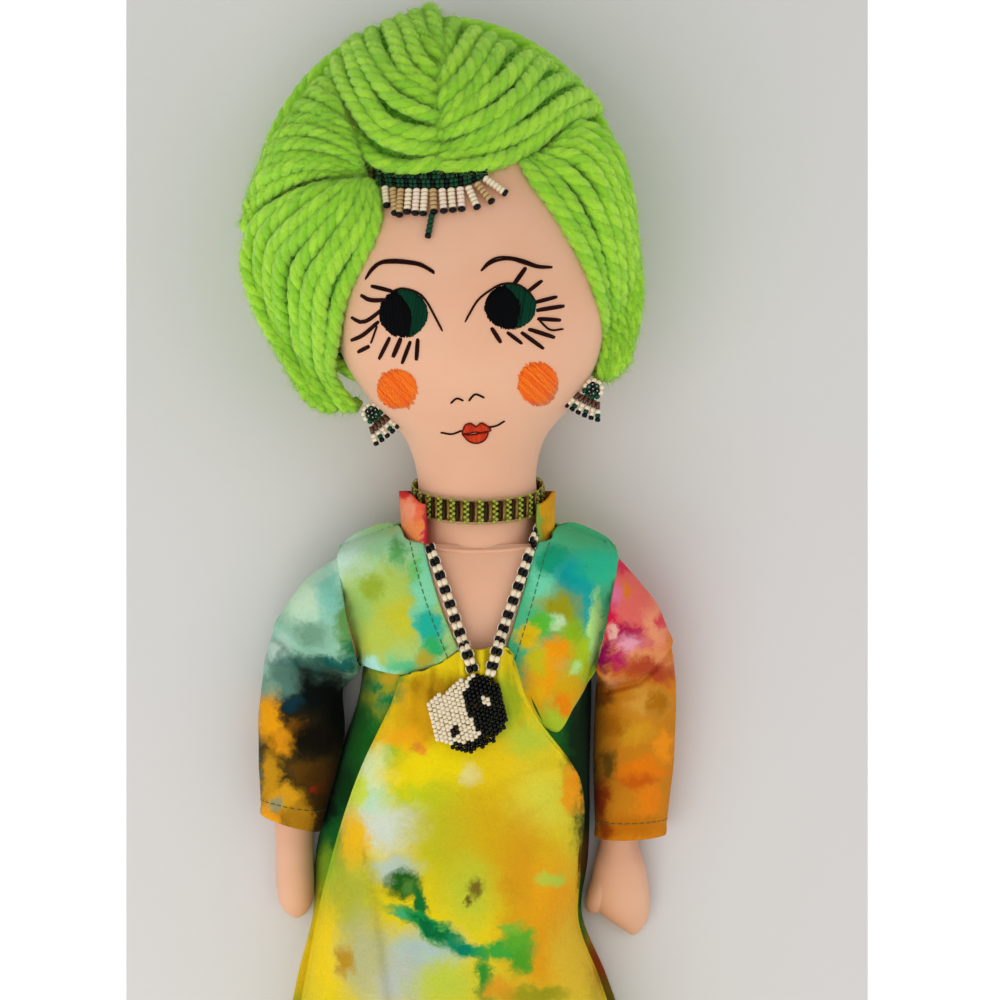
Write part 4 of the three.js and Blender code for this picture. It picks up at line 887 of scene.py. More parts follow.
def beadwork(name, entries, body):
    """A piece of beadwork from (finish, part) entries, in the place of the node of its name."""
    kinds = list(dict.fromkeys(kind for kind, _ in entries))
    parts = [part for _, part in entries]
    picks = picks_of(parts, [kinds.index(kind) for kind, _ in entries])
    made = piece(name, joined(parts), [BEADS[kind] for kind in kinds], picks)
    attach(made, body)
    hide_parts(name)


def strung(path, radius, height, kinds):
    """Beads in a row along a path, one for each finish in kinds."""
    places = (np.arange(len(kinds)) + 0.5) / len(kinds) * run_of(path)[-1]
    centres = spaced(path, places)
    ways = np.gradient(centres, axis=0) if len(kinds) > 1 else (path[-1] - path[0])[None]
    return [(kind, bead(c, w, radius, height)) for kind, c, w in zip(kinds, centres, ways)]


band_beads = []
for row, lift in BAND_ROWS:
    pixels = smooth_line([(x, y - row) for x, y in BAND_LINE], 60)
    path = on_face(pixels[:, 0], pixels[:, 1], BEAD_R + lift)
    kinds = ["green" if k % 3 else "black" for k in range(int(run_of(path)[-1] / BEAD_H))]
    band_beads += strung(path, BEAD_R * 1.08, BEAD_H * 1.05, kinds)
beadwork("headband", band_beads, "head")
for k, (top, end) in enumerate(zip(STRAND_TOPS, STRAND_ENDS)):
    pixels = smooth_line([top, end], 12)
    path = on_face(pixels[:, 0], pixels[:, 1], FRINGE_R + 0.55)
    length = np.linalg.norm(path[-1] - path[0])
    kinds = [FRINGE_KINDS[k]] * (int(round(length / FRINGE_H)) - 1) + ["black"]
    beadwork(f"fringe_strand_{k + 1}", strung(path, FRINGE_R, FRINGE_H, kinds), "fringe")
pixels = smooth_line(DROP_LINE, 14)
drop_path = on_face(pixels[:, 0], pixels[:, 1], BEAD_R * 1.3 + 0.55)
drop_beads = strung(drop_path, BEAD_R * 1.25, 1.9, ["green"] * 4 + ["black"])
beadwork("fringe_drop", drop_beads, "fringe")

EARRINGS = {
    "left": ((372, 413), (0.66, -0.75), 46.0),
    "right": ((593, 389), (-0.42, -0.9), 51.0),
}


def earring(side):
    """A ring of cream beads round dark ones, a fan of brown bugles and six strands with dark tips."""
    place, hang, z = EARRINGS[side]
    centre = from_photo(place[0], place[1], z)
    down = np.array([hang[0], hang[1], 0.0]) / np.hypot(*hang)
    across = np.array([-down[1], down[0], 0.0])
    entries = []
    for k in range(10):
        turn = 2 * np.pi * k / 10
        spot = centre + 3.1 * (across * np.cos(turn) + down * np.sin(turn))
        entries.append(("cream" if np.sin(turn) < 0.2 else "green",
                        bead(spot, down * np.cos(turn) - across * np.sin(turn), BEAD_R * 1.1, 1.9)))
    for k in range(7):
        turn = 2 * np.pi * k / 6
        far = 1.7 if k < 6 else 0.0
        spot = centre + far * (across * np.cos(turn) + down * np.sin(turn)) + np.array([0, 0, 0.6])
        entries.append(("green" if k % 2 else "black", bead(spot, (0, 0, 1), BEAD_R * 1.1, BEAD_H)))
    for k in range(6):
        fan = (k - 2.5) * 0.17
        way = down * np.cos(fan) + across * np.sin(fan)
        start = centre + 3.5 * down + across * (k - 2.5) * 1.45
        entries.append(("brown", tube(np.stack([start, start + way * 2.8]), 0.85, 8)))
        path = np.stack([start + way * 3.0, start + way * 7.4])
        kinds = ["cream", "green" if k % 2 else "cream", "black"]
        entries += strung(path, BEAD_R * 1.1, BEAD_H * 0.95, kinds)
    return entries


for side in EARRINGS:
    beadwork(f"earring_{side}", earring(side), f"earring_{side}")

# Torso and chest
# Peach cotton like the head, wide at the shoulders, with a seam where the neck goes in. Most of it is
# under the tunic; the chest shows in the V of the neckline. [Y, half width, half depth, centre Z]
HIP_Y = -62.0
CHEST_Z = 28.0
TORSO_STATIONS = [
    [-61.65, 33, 0.35, 19], [-46, 35.5, 15.4, 19.3], [-28, 37, 23.5, 25.6], [0, 38, 25, 27],
    [22, 41.8, 26.6, CHEST_Z], [46, 56, 27, CHEST_Z], [60, 59, 26.4, CHEST_Z], [68, 53, 24, CHEST_Z],
    [74, 37, 20, CHEST_Z], [78, 27, 15, CHEST_Z],
]
TORSO_ENDS = (-61.6, 70.2)
TORSO_ROWS = 70
TORSO_SIDES = 72
TORSO_TOP = 78.0
TORSO_WIDEST = 60.0
NECK_SEAM_X = (-18.6, 20.4)
NECK_SEAM_LOW = 67.6
NECK_SEAM_RISE = 2.4
NECK_SEAM_HALF = 27.0
NECK_SEAM_R = 0.8
CLOTH = 1.0
LAYER = 1.3
ARMHOLE = np.array([[44.2, 23.0], [52.7, 65.0]])
torso_at = spline(TORSO_STATIONS)


def torso_front(x, y, grow=0.0):
    """Height of the chest at (x, y), or of a cloth that lies grow above it."""
    a, b, z = np.moveaxis(torso_at(y), -1, 0)
    return z + (b + grow) * np.sqrt(np.maximum(0, 1 - (x / (a + grow)) ** 2))


def armhole_x(y):
    """How far out the armhole seam is at y."""
    (low_x, low_y), (high_x, high_y) = ARMHOLE
    return low_x + (high_x - low_x) * (y - low_y) / (high_y - low_y)


def torso_rings():
    """Ovals up the torso, cut straight at the armholes and flat where they meet the table."""
    rows = np.linspace(*TORSO_ENDS, TORSO_ROWS)
    turns = around(TORSO_SIDES)
    a, b, z = np.moveaxis(torso_at(rows), -1, 0)[..., None]
    limit = np.where(rows > 0, armhole_x(rows) - 0.4, TORSO_WIDEST)[:, None]
    x = np.clip(a * np.cos(turns), -limit, limit)
    return np.stack([x, rows[:, None] + 0 * x, np.maximum(z + b * np.sin(turns), LAYER)], -1)


seam_x = np.linspace(*NECK_SEAM_X, 60)
seam_y = NECK_SEAM_LOW + NECK_SEAM_RISE * (seam_x / NECK_SEAM_HALF) ** 2
neck_line = np.stack([seam_x, seam_y, torso_front(seam_x, seam_y) + 0.05], -1)
torso_part = joined([lofted(torso_rings()), tube(neck_line, NECK_SEAM_R, 10)])
stuffed("torso", torso_part)

# Dyed cotton
# The tunic's cotton was dyed in patches that ran into each other. Each cut piece lists its patches in
# pixels of the photograph: centre, half sizes, tint, softness and lean. A warp of the place feathers them.
# On the skirt, the darkest greens beside the folded edges are partly dye and partly painted shade.
DYE_SCALE = 0.01
DYE_EDGE = (0.72, 0.95)
DYE_BROAD = 16
DYE_DEPTH = 1e6


def dyed_cotton(name, ground, patches, warp=0.085):
    """Plain-weave cotton: a ground with dye patches, a few on the skirt painted shade, laid over it in
    turn.
    """
    material = finish_of(name, ground, 0.86, Sheen_Weight=0.03, Specular_IOR_Level=0.12)
    tree = material.node_tree
    shader = tree.nodes["Principled BSDF"]
    place = add_node(tree, "ShaderNodeAttribute", attribute_name="dye_place").outputs["Vector"]
    for scale, amount in ((4.2, warp), (13.0, warp * 0.55), (42.0, warp * 0.34), (130.0, warp * 0.16)):
        drift = add_node(tree, "ShaderNodeTexNoise", {"Vector": place, "Scale": scale, "Detail": 2.0})
        shifted = add_node(tree, "ShaderNodeVectorMath", {0: drift.outputs["Color"], 1: (0.5, 0.5, 0.5)},
                           operation="SUBTRACT")
        scaled = add_node(tree, "ShaderNodeVectorMath", {0: shifted.outputs[0], "Scale": amount * 2.6},
                          operation="SCALE")
        place = add_node(tree, "ShaderNodeVectorMath", {0: place, 1: scaled.outputs[0]}).outputs[0]
    tint = None
    for x, y, wide, tall, hue, soft, *lean in patches:
        local = add_node(tree, "ShaderNodeMapping", {
            "Vector": place, "Location": (x * DYE_SCALE, y * DYE_SCALE, 0.0),
            "Rotation": (0.0, 0.0, float(np.radians(lean[0])) if lean else 0.0),
            "Scale": (wide * DYE_SCALE, tall * DYE_SCALE, DYE_DEPTH)}, vector_type="TEXTURE")
        edge = soft * DYE_EDGE[int(min(wide, tall) > DYE_BROAD)]
        far = add_node(tree, "ShaderNodeVectorMath", {0: local.outputs[0]}, operation="LENGTH")
        cover = add_node(tree, "ShaderNodeMapRange",
                         {0: far.outputs["Value"], 1: 1 - edge, 2: 1 + edge, 3: 1.0, 4: 0.0},
                         interpolation_type="SMOOTHSTEP")
        mix = add_node(tree, "ShaderNodeMix",
                       {0: cover.outputs[0], 6: tint or linear(ground), 7: linear(hue)}, data_type="RGBA")
        tint = mix.outputs[2]
    mottle = add_node(tree, "ShaderNodeTexNoise",
                      {"Vector": place, "Scale": 60.0, "Detail": 4.0, "Roughness": 0.65})
    bright = add_node(tree, "ShaderNodeMapRange",
                      {0: mottle.outputs["Fac"], 1: 0.3, 2: 0.7, 3: 0.9, 4: 1.1})
    final = add_node(tree, "ShaderNodeVectorMath", {0: tint, 1: bright.outputs[0]}, operation="MULTIPLY")
    tree.links.new(final.outputs[0], shader.inputs["Base Color"])
    spot = add_node(tree, "ShaderNodeTexCoord").outputs["Object"]
    weave = add_node(tree, "ShaderNodeTexNoise", {"Vector": spot, "Scale": 2200.0, "Detail": 2.0})
    creases = add_node(tree, "ShaderNodeTexNoise",
                       {"Vector": spot, "Scale": 75.0, "Detail": 4.0, "Distortion": 0.6})
    height = add_node(tree, "ShaderNodeMath", {0: creases.outputs["Fac"], 1: 9.0, 2: weave.outputs["Fac"]},
                      operation="MULTIPLY_ADD")
    bump = add_node(tree, "ShaderNodeBump",
                    {"Height": height.outputs[0], "Strength": 0.35, "Distance": 0.0005})
    tree.links.new(bump.outputs["Normal"], shader.inputs["Normal"])
    return material


def sheet_part(grid, thickness, wrap=False):
    """A cloth of two faces and a rim from a grid of points (rows, columns, 3); wrap closes it to a tube."""
    rows, columns = grid.shape[:2]
    if wrap:
        across = (np.roll(grid, -1, 1) - np.roll(grid, 1, 1)) / 2
    else:
        across = np.gradient(grid, axis=1)
    normal = np.cross(across, np.gradient(grid, axis=0))
    normal /= np.linalg.norm(normal, axis=2, keepdims=True) + 1e-9
    if not wrap and normal[..., 2].mean() < 0:
        normal = -normal
    if wrap and ((grid - grid.mean(1, keepdims=True)) * normal).sum() < 0:
        normal = -normal
    under = grid - normal * thickness
    span = columns if wrap else columns - 1
    k = np.arange(span)
    nxt = (k + 1) % columns
    base = np.arange(rows - 1)[:, None] * columns
    upper = np.stack([base + k, base + nxt, base + nxt + columns, base + k + columns], -1).reshape(-1, 4)
    low = rows * columns
    lower = upper[:, ::-1] + low
    edges = [np.stack([k, nxt], -1), np.stack([nxt, k], -1) + (rows - 1) * columns]
    if not wrap:
        r = np.arange(rows - 1)
        edges += [np.stack([r + 1, r], -1) * columns, np.stack([r, r + 1], -1) * columns + columns - 1]
    edges = np.concatenate(edges)
    rim = np.stack([edges[:, 1], edges[:, 0], edges[:, 0] + low, edges[:, 1] + low], -1)
    points = np.concatenate([grid.reshape(-1, 3), under.reshape(-1, 3)])
    return outward((points, np.concatenate([upper, lower, rim]), np.zeros((0, 3), int)))


def tailored(name, parts, materials, picks=None):
    """A cloth piece with the rest place of its dye stored on each point, in hundreds of pixels."""
    part = joined(parts)
    made = piece(name, part, materials, picks)
    px, py = to_photo(part[0])
    place = np.stack([px * DYE_SCALE, py * DYE_SCALE, part[0][:, 2] * 0.02], -1)
    store = made.data.attributes.new("dye_place", "FLOAT_VECTOR", "POINT")
    store.data.foreach_set("vector", place.astype(np.float32).ravel())
    return made


def seam_stitches(path, dash=2.1, gap=0.7, radius=0.17):
    """Top stitching along a path: short threads that dip between dashes."""
    parts = []
    for start in np.arange(0, run_of(path)[-1] - dash, dash + gap):
        places = np.linspace(start, start + dash, 5)
        line = spaced(path, places)
        line[[0, -1], 2] -= 0.35
        parts.append(tube(line, radius, 5))
    return parts


seam_thread = finish_of("seam_thread", "#5E7A4C", 0.8)

# Front and back yokes
# The tunic's upper part, sewn from two fronts that meet in a V, and a back. The right front comes further
# down, over the skirt. A row of stitches holds the neck facing.
YOKE_LEFT = {
    "bottom": [(-45.4, 24.4), (-36, 22.6), (-28.6, 21.8), (-20.8, 23.7), (-13, 27), (-6.8, 31.5)],
    "neck": [(-6.8, 31.5), (-13, 46), (-18.4, 64), (-20, 70.6)],
    "top": [(-53, 65), (-51.6, 69.6), (-43, 75.6), (-34, 77.9), (-29.6, 76.6), (-27, 72.5), (-20, 70.6)],
}
YOKE_RIGHT = {
    "bottom": [(45, 21.6), (36.4, 9), (29.5, 0), (22.5, 4.5), (15, 19), (11.3, 33)],
    "neck": [(11.3, 33), (17.5, 54), (21, 67), (22.6, 70.8)],
    "top": [(53, 65), (51.6, 69.6), (43, 75.6), (34, 77.9), (30, 76.6), (27.8, 72.5), (22.6, 70.8)],
}
YOKE_ROWS = 60
YOKE_COLUMNS = 60
FACING = 5.2
YOKE_ACROSS = 42.0
SHOULDER_FROM = 40.0
SHOULDER_OVER = 14.0
SHOULDER_COLUMNS = 7
YOKE_LEFT_DYE = [
    (352, 562, 26, 30, "#CDEBDC", 0.7), (398, 548, 34, 20, "#A6DDB2", 0.7),
    (385, 596, 44, 34, "#B9CE62", 0.8), (362, 622, 16, 40, "#A9CC70", 0.7),
    (405, 622, 28, 20, "#CFCB3A", 0.8), (378, 640, 26, 18, "#C2CE58", 0.7),
    (424, 590, 12, 46, "#8FDCB0", 0.5), (397, 552, 8, 12, "#6DB36A", 0.9),
    (430, 626, 14, 20, "#2DBBA2", 0.6), (434, 650, 12, 12, "#3FBB72", 0.7),
    (372, 670, 24, 9, "#BEEEDF", 0.7), (404, 666, 18, 8, "#70CF94", 0.8), (424, 660, 10, 8, "#BFB23C", 0.8),
    (372, 588, 9, 14, "#A3B83E", 0.9), (415, 570, 7, 12, "#79C878", 0.9),
]
YOKE_RIGHT_DYE = [
    (546, 578, 16, 34, "#7EDCB4", 0.6), (552, 560, 14, 16, "#1FA87E", 0.7),
    (575, 584, 20, 26, "#10A8A2", 0.6), (600, 566, 20, 20, "#36C097", 0.7),
    (584, 614, 9, 26, "#1EAAA6", 0.7), (559, 612, 20, 22, "#A7A41C", 0.6),
    (553, 622, 12, 8, "#C9E8B6", 0.7), (540, 626, 12, 14, "#67C23E", 0.7),
    (528, 634, 12, 12, "#E6C31A", 0.6), (574, 634, 14, 18, "#9CC226", 0.7),
    (560, 650, 20, 12, "#F0A214", 0.6), (546, 680, 22, 30, "#F7AE10", 0.6),
    (582, 662, 14, 26, "#B8D02C", 0.7), (568, 690, 14, 22, "#E2B71A", 0.7),
    (596, 632, 6, 36, "#B9E38C", 0.7), (556, 722, 26, 20, "#BFD63A", 0.6), (577, 668, 5, 6, "#C4EC96", 0.8),
    (534, 700, 12, 18, "#F2C21C", 0.7), (535, 660, 10, 14, "#D2C822", 0.8),
    (565, 705, 10, 12, "#F49A0C", 0.8),
]
YOKE_BACK_DYE = [
    (400, 560, 60, 50, "#5FB88C", 0.8), (560, 590, 60, 50, "#C6CC4A", 0.8),
    (480, 640, 50, 30, "#2FA88E", 0.8),
]
YOKE_LEFT_FOLDS = [
    ([(396, 548), (404, 580), (410, 620)], 1.1, 8, 12), ([(352, 575), (366, 612), (372, 655)], 1.0, 8, 8),
    ([(372, 668), (400, 672), (440, 658)], 0.9, 5, 6), ([(395, 645), (376, 612)], 0.7, 4, 5),
    ([(412, 655), (398, 628)], 0.6, 4, 4), ([(388, 575), (378, 556)], 0.6, 4, 4),
    ([(432, 640), (420, 650)], 0.5, 3, 3),
]
YOKE_RIGHT_FOLDS = [
    ([(551, 552), (549, 585), (545, 620)], 1.5, 5, 8), ([(562, 556), (575, 590), (582, 640)], -0.9, 8, 8),
    ([(590, 575), (594, 620), (592, 660)], 1.0, 8, 6), ([(530, 660), (546, 700), (557, 730)], 1.0, 8, 10),
    ([(524, 640), (540, 645), (548, 650)], 0.8, 4, 4),
]


def coons(bottom, top, left, right):
    """A grid in X and Y between four edge lines: the sum of the two ruled grids less the corner grid."""
    u = np.linspace(0, 1, bottom.shape[0])[None, :, None]
    v = np.linspace(0, 1, left.shape[0])[:, None, None]
    across = left[:, None] * (1 - u) + right[:, None] * u
    along = bottom[None] * (1 - v) + top[None] * v
    low = bottom[0] * (1 - u) * (1 - v) + bottom[-1] * u * (1 - v)
    return across + along - (low + top[0] * (1 - u) * v + top[-1] * u * v)


def folded(px, py, folds):
    """Height of folds along pixel lines: height * exp(-(d / width)^2), with a width for either side."""
    total = np.zeros(np.shape(px))
    for line, height, left, right in folds:
        best = np.full(np.shape(px), np.inf)
        side = np.zeros(np.shape(px))
        for (ax, ay), (bx, by) in zip(line, line[1:]):
            wx, wy = bx - ax, by - ay
            t = np.clip(((px - ax) * wx + (py - ay) * wy) / (wx * wx + wy * wy), 0, 1)
            dx, dy = px - ax - t * wx, py - ay - t * wy
            near = np.hypot(dx, dy) < best
            best = np.where(near, np.hypot(dx, dy), best)
            side = np.where(near, wx * dy - wy * dx, side)
        total += height * np.exp(-((best / np.where(side > 0, right, left)) ** 2))
    return total


def shoulder_share(y):
    """How much of the shoulder's side wall stands at y: little at first, all of it near the top."""
    return np.clip((y - SHOULDER_FROM) / SHOULDER_OVER, 0.02, 1)


def yoke_front(side, edges, dye, ground, folds):
    """One front of the yoke: flat edges from the photograph, lying a cloth's thickness over the chest."""
    bottom = smooth_line(edges["bottom"], YOKE_COLUMNS)
    neck = smooth_line(edges["neck"], YOKE_ROWS)
    top = smooth_line(edges["top"], YOKE_COLUMNS)
    arm = smooth_line([edges["bottom"][0], edges["top"][0]], YOKE_ROWS)
    plan = coons(bottom, top, arm, neck)
    x, y = plan[..., 0], plan[..., 1]
    z = torso_front(x, y, LAYER)
    v = np.linspace(0, 1, YOKE_ROWS)[:, None]
    u = np.linspace(0, 1, YOKE_COLUMNS)[None, :]
    tuck = np.exp(-(v / 0.06) ** 2) * 0.5
    pull = 0.9 * np.sin(9 * u + 4 * v + 1.2) * np.sin(np.pi * u) * np.sin(np.pi * v) ** 0.7
    pucker = 0.35 * np.sin(46 * v) * np.exp(-(u / 0.07) ** 2)
    px, py = to_photo(np.concatenate([plan, z[..., None]], -1))
    z = z + 0.6 * np.clip(pull, -0.5, 1.2) + pucker + tuck + folded(px, py, folds)
    grid = np.concatenate([plan, z[..., None]], -1)
    facing = 1 - FACING / YOKE_ACROSS
    line = np.array([[np.interp(facing, u[0], row[:, axis]) for axis in range(3)] for row in grid])
    stitches = seam_stitches(line + [0, 0, 0.2])
    share = np.linspace(0, 0.9, SHOULDER_COLUMNS)[None, :, None]
    foot = grid[:, :1].copy()
    foot[..., 2] += (CHEST_Z - 2 - foot[..., 2]) * shoulder_share(foot[..., 1])
    grid = np.concatenate([foot + (grid[:, :1] - foot) * share, grid], 1)
    cotton = dyed_cotton(f"yoke_{side}_cotton", ground, dye)
    parts = [sheet_part(grid, CLOTH), *stitches]
    picks = picks_of(parts, [0] + [1] * len(stitches))
    made = tailored(f"yoke_front_{side}", parts, [cotton, seam_thread], picks)
    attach(made, "torso")
    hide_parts(f"yoke_front_{side}")


yoke_front("left", YOKE_LEFT, YOKE_LEFT_DYE, "#B2D48A", YOKE_LEFT_FOLDS)
yoke_front("right", YOKE_RIGHT, YOKE_RIGHT_DYE, "#5CC28E", YOKE_RIGHT_FOLDS)


def yoke_back_grid():
    """The back of the yoke: under the torso from armhole to armhole, with a wall up each shoulder."""
    y = np.concatenate([np.linspace(23.3, 70, 34), np.linspace(71, 78.6, 12)])
    a, b, z = np.moveaxis(torso_at(np.minimum(y, TORSO_TOP)), -1, 0)
    reach = np.minimum(armhole_x(y), a + LAYER) - 0.2 - np.clip((y - 58) / 10, 0, 1)
    x = reach[:, None] * np.sin(np.linspace(-np.pi / 2, np.pi / 2, 61))
    drop = (b[:, None] + LAYER) * np.sqrt(np.maximum(0, 1 - (x / (a[:, None] + LAYER)) ** 2))
    grid = np.stack([x, y[:, None] + 0 * x, np.maximum(z[:, None] - drop, 0.05)], -1)
    rise = np.linspace(0, 0.9, SHOULDER_COLUMNS)[None, :, None]
    high = shoulder_share(y)[:, None, None] * [0, 0, 1]
    walls = [edge + (CHEST_Z - 1 - edge) * high * (1 - rise) for edge in (grid[:, :1], grid[:, -1:])]
    return np.concatenate([walls[0], grid, walls[1][:, ::-1]], 1)


back_grid = yoke_back_grid()
yoke_back_cotton = dyed_cotton("yoke_back_cotton", "#8CCB86", YOKE_BACK_DYE)
flipped = back_grid[:, ::-1] + [0, 0, CLOTH]
yoke_back = tailored("yoke_back", [sheet_part(flipped, CLOTH)], [yoke_back_cotton])
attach(yoke_back, "torso")
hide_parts("yoke_back")

# Stand collar
# A doubled strip of the same cotton that stands round the back and sides of the neck, open at the front.
COLLAR_R = 28.2
COLLAR_LOW = 70.4
COLLAR_HIGH = 90.0
COLLAR_SLOPE = 5.0
COLLAR_FROM = np.radians(131)
COLLAR_TO = np.radians(400)
COLLAR_COLUMNS = 110
COLLAR_ROWS = 22
COLLAR_DYE = [
    (412, 500, 22, 20, "#EE6A50", 0.6), (410, 538, 22, 20, "#F4975C", 0.6),
    (406, 512, 8, 12, "#F5A07C", 0.8), (404, 492, 12, 6, "#C9302E", 0.8),
    (427, 540, 6, 30, "#C9304A", 0.6), (552, 512, 20, 24, "#DDA31C", 0.6),
    (545, 540, 16, 16, "#C89418", 0.7), (556, 526, 8, 12, "#F0B42C", 0.8),
    (538, 520, 5, 30, "#8FAF4A", 0.7),
]


def stand_collar():
    """The collar as a grid: an arc round the neck, with a top edge that slopes down at both ends."""
    turns = np.linspace(COLLAR_FROM, COLLAR_TO, COLLAR_COLUMNS)
    end_gap = np.minimum(turns - COLLAR_FROM, COLLAR_TO - turns)
    top = COLLAR_HIGH - COLLAR_SLOPE * np.exp(-((end_gap / 0.3) ** 2))
    rise = np.linspace(0, 1, COLLAR_ROWS)[:, None]
    rows = COLLAR_LOW + (top - COLLAR_LOW) * rise
    radius = COLLAR_R + 0.5 * rise**2 * (1 - 0.8 * np.cos(7 * turns)) + 0 * rows
    return np.stack([radius * np.cos(turns), rows, NECK_Z + radius * np.sin(turns)], -1)


collar_grid = stand_collar()
collar_cotton = dyed_cotton("collar_cotton", "#E9903A", COLLAR_DYE)
collar = tailored("collar", [sheet_part(collar_grid[:, ::-1], CLOTH)], [collar_cotton])
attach(collar, "torso")
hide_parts("collar")

# Sleeves and arms
# Long straight sleeves, sewn in at the shoulder, creased at the elbow and hemmed above the wrist, over
# stuffed arms that bend at a line of stitches. [outer X, outer Y, inner X, inner Y, centre Z, half depth]
SLEEVE_LEFT = [
    [-53.1, 65, -44.7, 23.2, 27, 20.5], [-65, 57, -45.6, 20.6, 25, 19.8], [-75, 44, -48, 18, 21, 18.6],
    [-81, 30, -50.5, 15.5, 18, 17.4], [-83.5, 17, -52.5, 12, 16, 16.3], [-85, 0, -51.8, -4, 15, 15.4],
    [-84.6, -18, -55, -19, 14, 14.4], [-84, -35, -61.5, -41.5, 12.5, 13],
]
SLEEVE_RIGHT = [
    [53.1, 65, 44.7, 23.2, 27, 20.5], [62, 55, 45.2, 21, 25, 19.8], [69.5, 45, 45.6, 19, 21, 18.6],
    [74, 32, 45.8, 17, 18, 17.4], [76, 18, 45.4, 13, 16, 16.3], [76, -5, 44.6, -6, 15, 15.4],
    [74.5, -25, 44.8, -25, 14, 14.4], [72.5, -43, 45.5, -44, 12.5, 13],
]
HAND_LEFT = [[-79.5, -37, -63.8, -40, 8.2, 8.5], [-79, -53, -64.6, -53, 7.8, 8.2],
             [-78.8, -66, -64.4, -66, 7.2, 7.6], [-76.5, -77, -66.5, -77.4, 4.4, 4.7]]
HAND_RIGHT = [[62.5, -44, 47.4, -44.5, 8.2, 8.5], [65.4, -58, 44.6, -58, 8, 8.2],
              [67, -72, 44.5, -71, 6.8, 7], [64.6, -85, 56, -83, 3.8, 4.1]]
THUMB = [[56, -62, 44.4, -60, 7.4, 6.8], [52, -69, 42.2, -67.5, 6.8, 6], [48, -76, 40.8, -75, 5.4, 3.6]]
ELBOW_STATION = 4
SLEEVE_ROWS = 200
SLEEVE_SIDES = 120
LIMB_SIDES = 48
HEM_STITCH = 0.945
HAND_ROUND = (5.35, 0.04)
THUMB_ROUND = (1.35, 0.05)
SLEEVE_LEFT_DYE = [
    (335, 562, 26, 26, "#CFE8D2", 0.8), (300, 600, 20, 24, "#C9E2C4", 0.8),
    (331, 594, 14, 24, "#8FCDB8", 0.8), (349, 622, 12, 26, "#6FA05A", 0.8),
    (357, 648, 12, 14, "#2F7A4A", 0.8), (312, 634, 16, 12, "#7FA88C", 0.9),
    (276, 652, 14, 14, "#B9CFC0", 0.8), (302, 762, 54, 92, "#3E3212", 0.3),
    (300, 666, 30, 9, "#4F7A6C", 0.9, 12), (338, 664, 20, 7, "#1F6A5E", 0.8),
    (318, 694, 42, 24, "#0A1512", 0.6), (280, 684, 16, 14, "#5E8474", 0.9),
    (268, 688, 8, 10, "#7FA08A", 0.9), (338, 716, 20, 26, "#0C0E08", 0.7), (293, 704, 8, 7, "#123A44", 0.9),
    (270, 718, 13, 22, "#EBA60E", 0.7), (284, 742, 12, 14, "#E09A10", 0.7),
    (297, 728, 10, 8, "#8A5A0E", 0.8), (318, 740, 26, 16, "#1C160A", 0.8),
    (302, 772, 16, 12, "#6B4A10", 0.8), (270, 776, 10, 22, "#C9961A", 0.8),
    (324, 782, 18, 18, "#5A3A0E", 0.8), (316, 790, 8, 6, "#9A3A14", 0.9),
    (284, 800, 18, 12, "#D9A21C", 0.8), (270, 818, 12, 14, "#EFA81E", 0.8),
    (300, 818, 18, 14, "#B9871A", 0.8), (322, 812, 8, 24, "#4B310C", 0.8), (276, 806, 5, 6, "#A39B72", 0.9),
]
SLEEVE_RIGHT_DYE = [
    (634, 606, 42, 52, "#E9756A", 0.5), (622, 564, 12, 10, "#E2335C", 0.7),
    (628, 590, 6, 10, "#E8852A", 0.8), (614, 596, 8, 14, "#E8809C", 0.8),
    (604, 618, 14, 18, "#D92050", 0.7), (625, 636, 20, 11, "#B80F52", 0.7),
    (644, 640, 8, 11, "#C1215A", 0.8), (610, 632, 5, 8, "#EBB6A6", 0.8), (629, 646, 14, 11, "#EBA6B4", 0.8),
    (603, 656, 9, 18, "#8B0A52", 0.7), (620, 662, 10, 8, "#C20A6C", 0.8),
    (656, 628, 12, 25, "#F1A27A", 0.8), (662, 620, 6, 9, "#E2525C", 0.9), (648, 662, 22, 9, "#F2AA72", 0.8),
    (614, 680, 14, 6, "#E9A272", 0.8), (648, 672, 28, 13, "#BC5430", 0.8),
    (630, 760, 60, 78, "#D08A1E", 0.2), (602, 696, 10, 12, "#9B5B10", 0.8),
    (646, 702, 20, 16, "#DAA242", 0.8), (656, 702, 9, 12, "#B9790F", 0.9),
    (626, 732, 25, 12, "#DAA226", 0.8), (610, 726, 14, 14, "#C17B10", 0.8),
    (665, 746, 10, 14, "#F29B1C", 0.8), (608, 766, 10, 13, "#7B5B14", 0.9),
    (642, 770, 22, 12, "#EA870F", 0.8), (638, 782, 16, 8, "#D16B10", 0.9),
    (600, 802, 8, 22, "#A9490F", 0.8), (650, 802, 14, 14, "#EA8B14", 0.8),
    (630, 826, 28, 12, "#C97B0C", 0.8), (606, 830, 6, 10, "#A9510C", 0.9),
]
SLEEVE_LEFT_FOLDS = [
    ([(272, 636), (282, 642), (302, 668), (345, 677)], -2.8, 3.5, 3.5),
    ([(276, 624), (292, 638), (312, 660), (346, 667)], 2.2, 10, 5),
    ([(300, 700), (290, 750), (300, 800)], 1.2, 12, 9), ([(268, 700), (282, 760), (274, 810)], -0.9, 7, 7),
    ([(325, 590), (338, 625), (352, 655)], 1.0, 9, 9),
]
SLEEVE_RIGHT_FOLDS = [
    ([(592, 670), (607, 690), (638, 683), (663, 663), (680, 640)], -3.2, 3, 3.5),
    ([(596, 664), (610, 681), (638, 675), (660, 655), (674, 636)], 3.0, 10, 4.5),
    ([(606, 706), (640, 700), (668, 680)], 1.2, 6, 10), ([(622, 590), (618, 625), (610, 655)], 1.0, 9, 9),
    ([(645, 720), (640, 760), (648, 810)], 0.9, 10, 12),
]


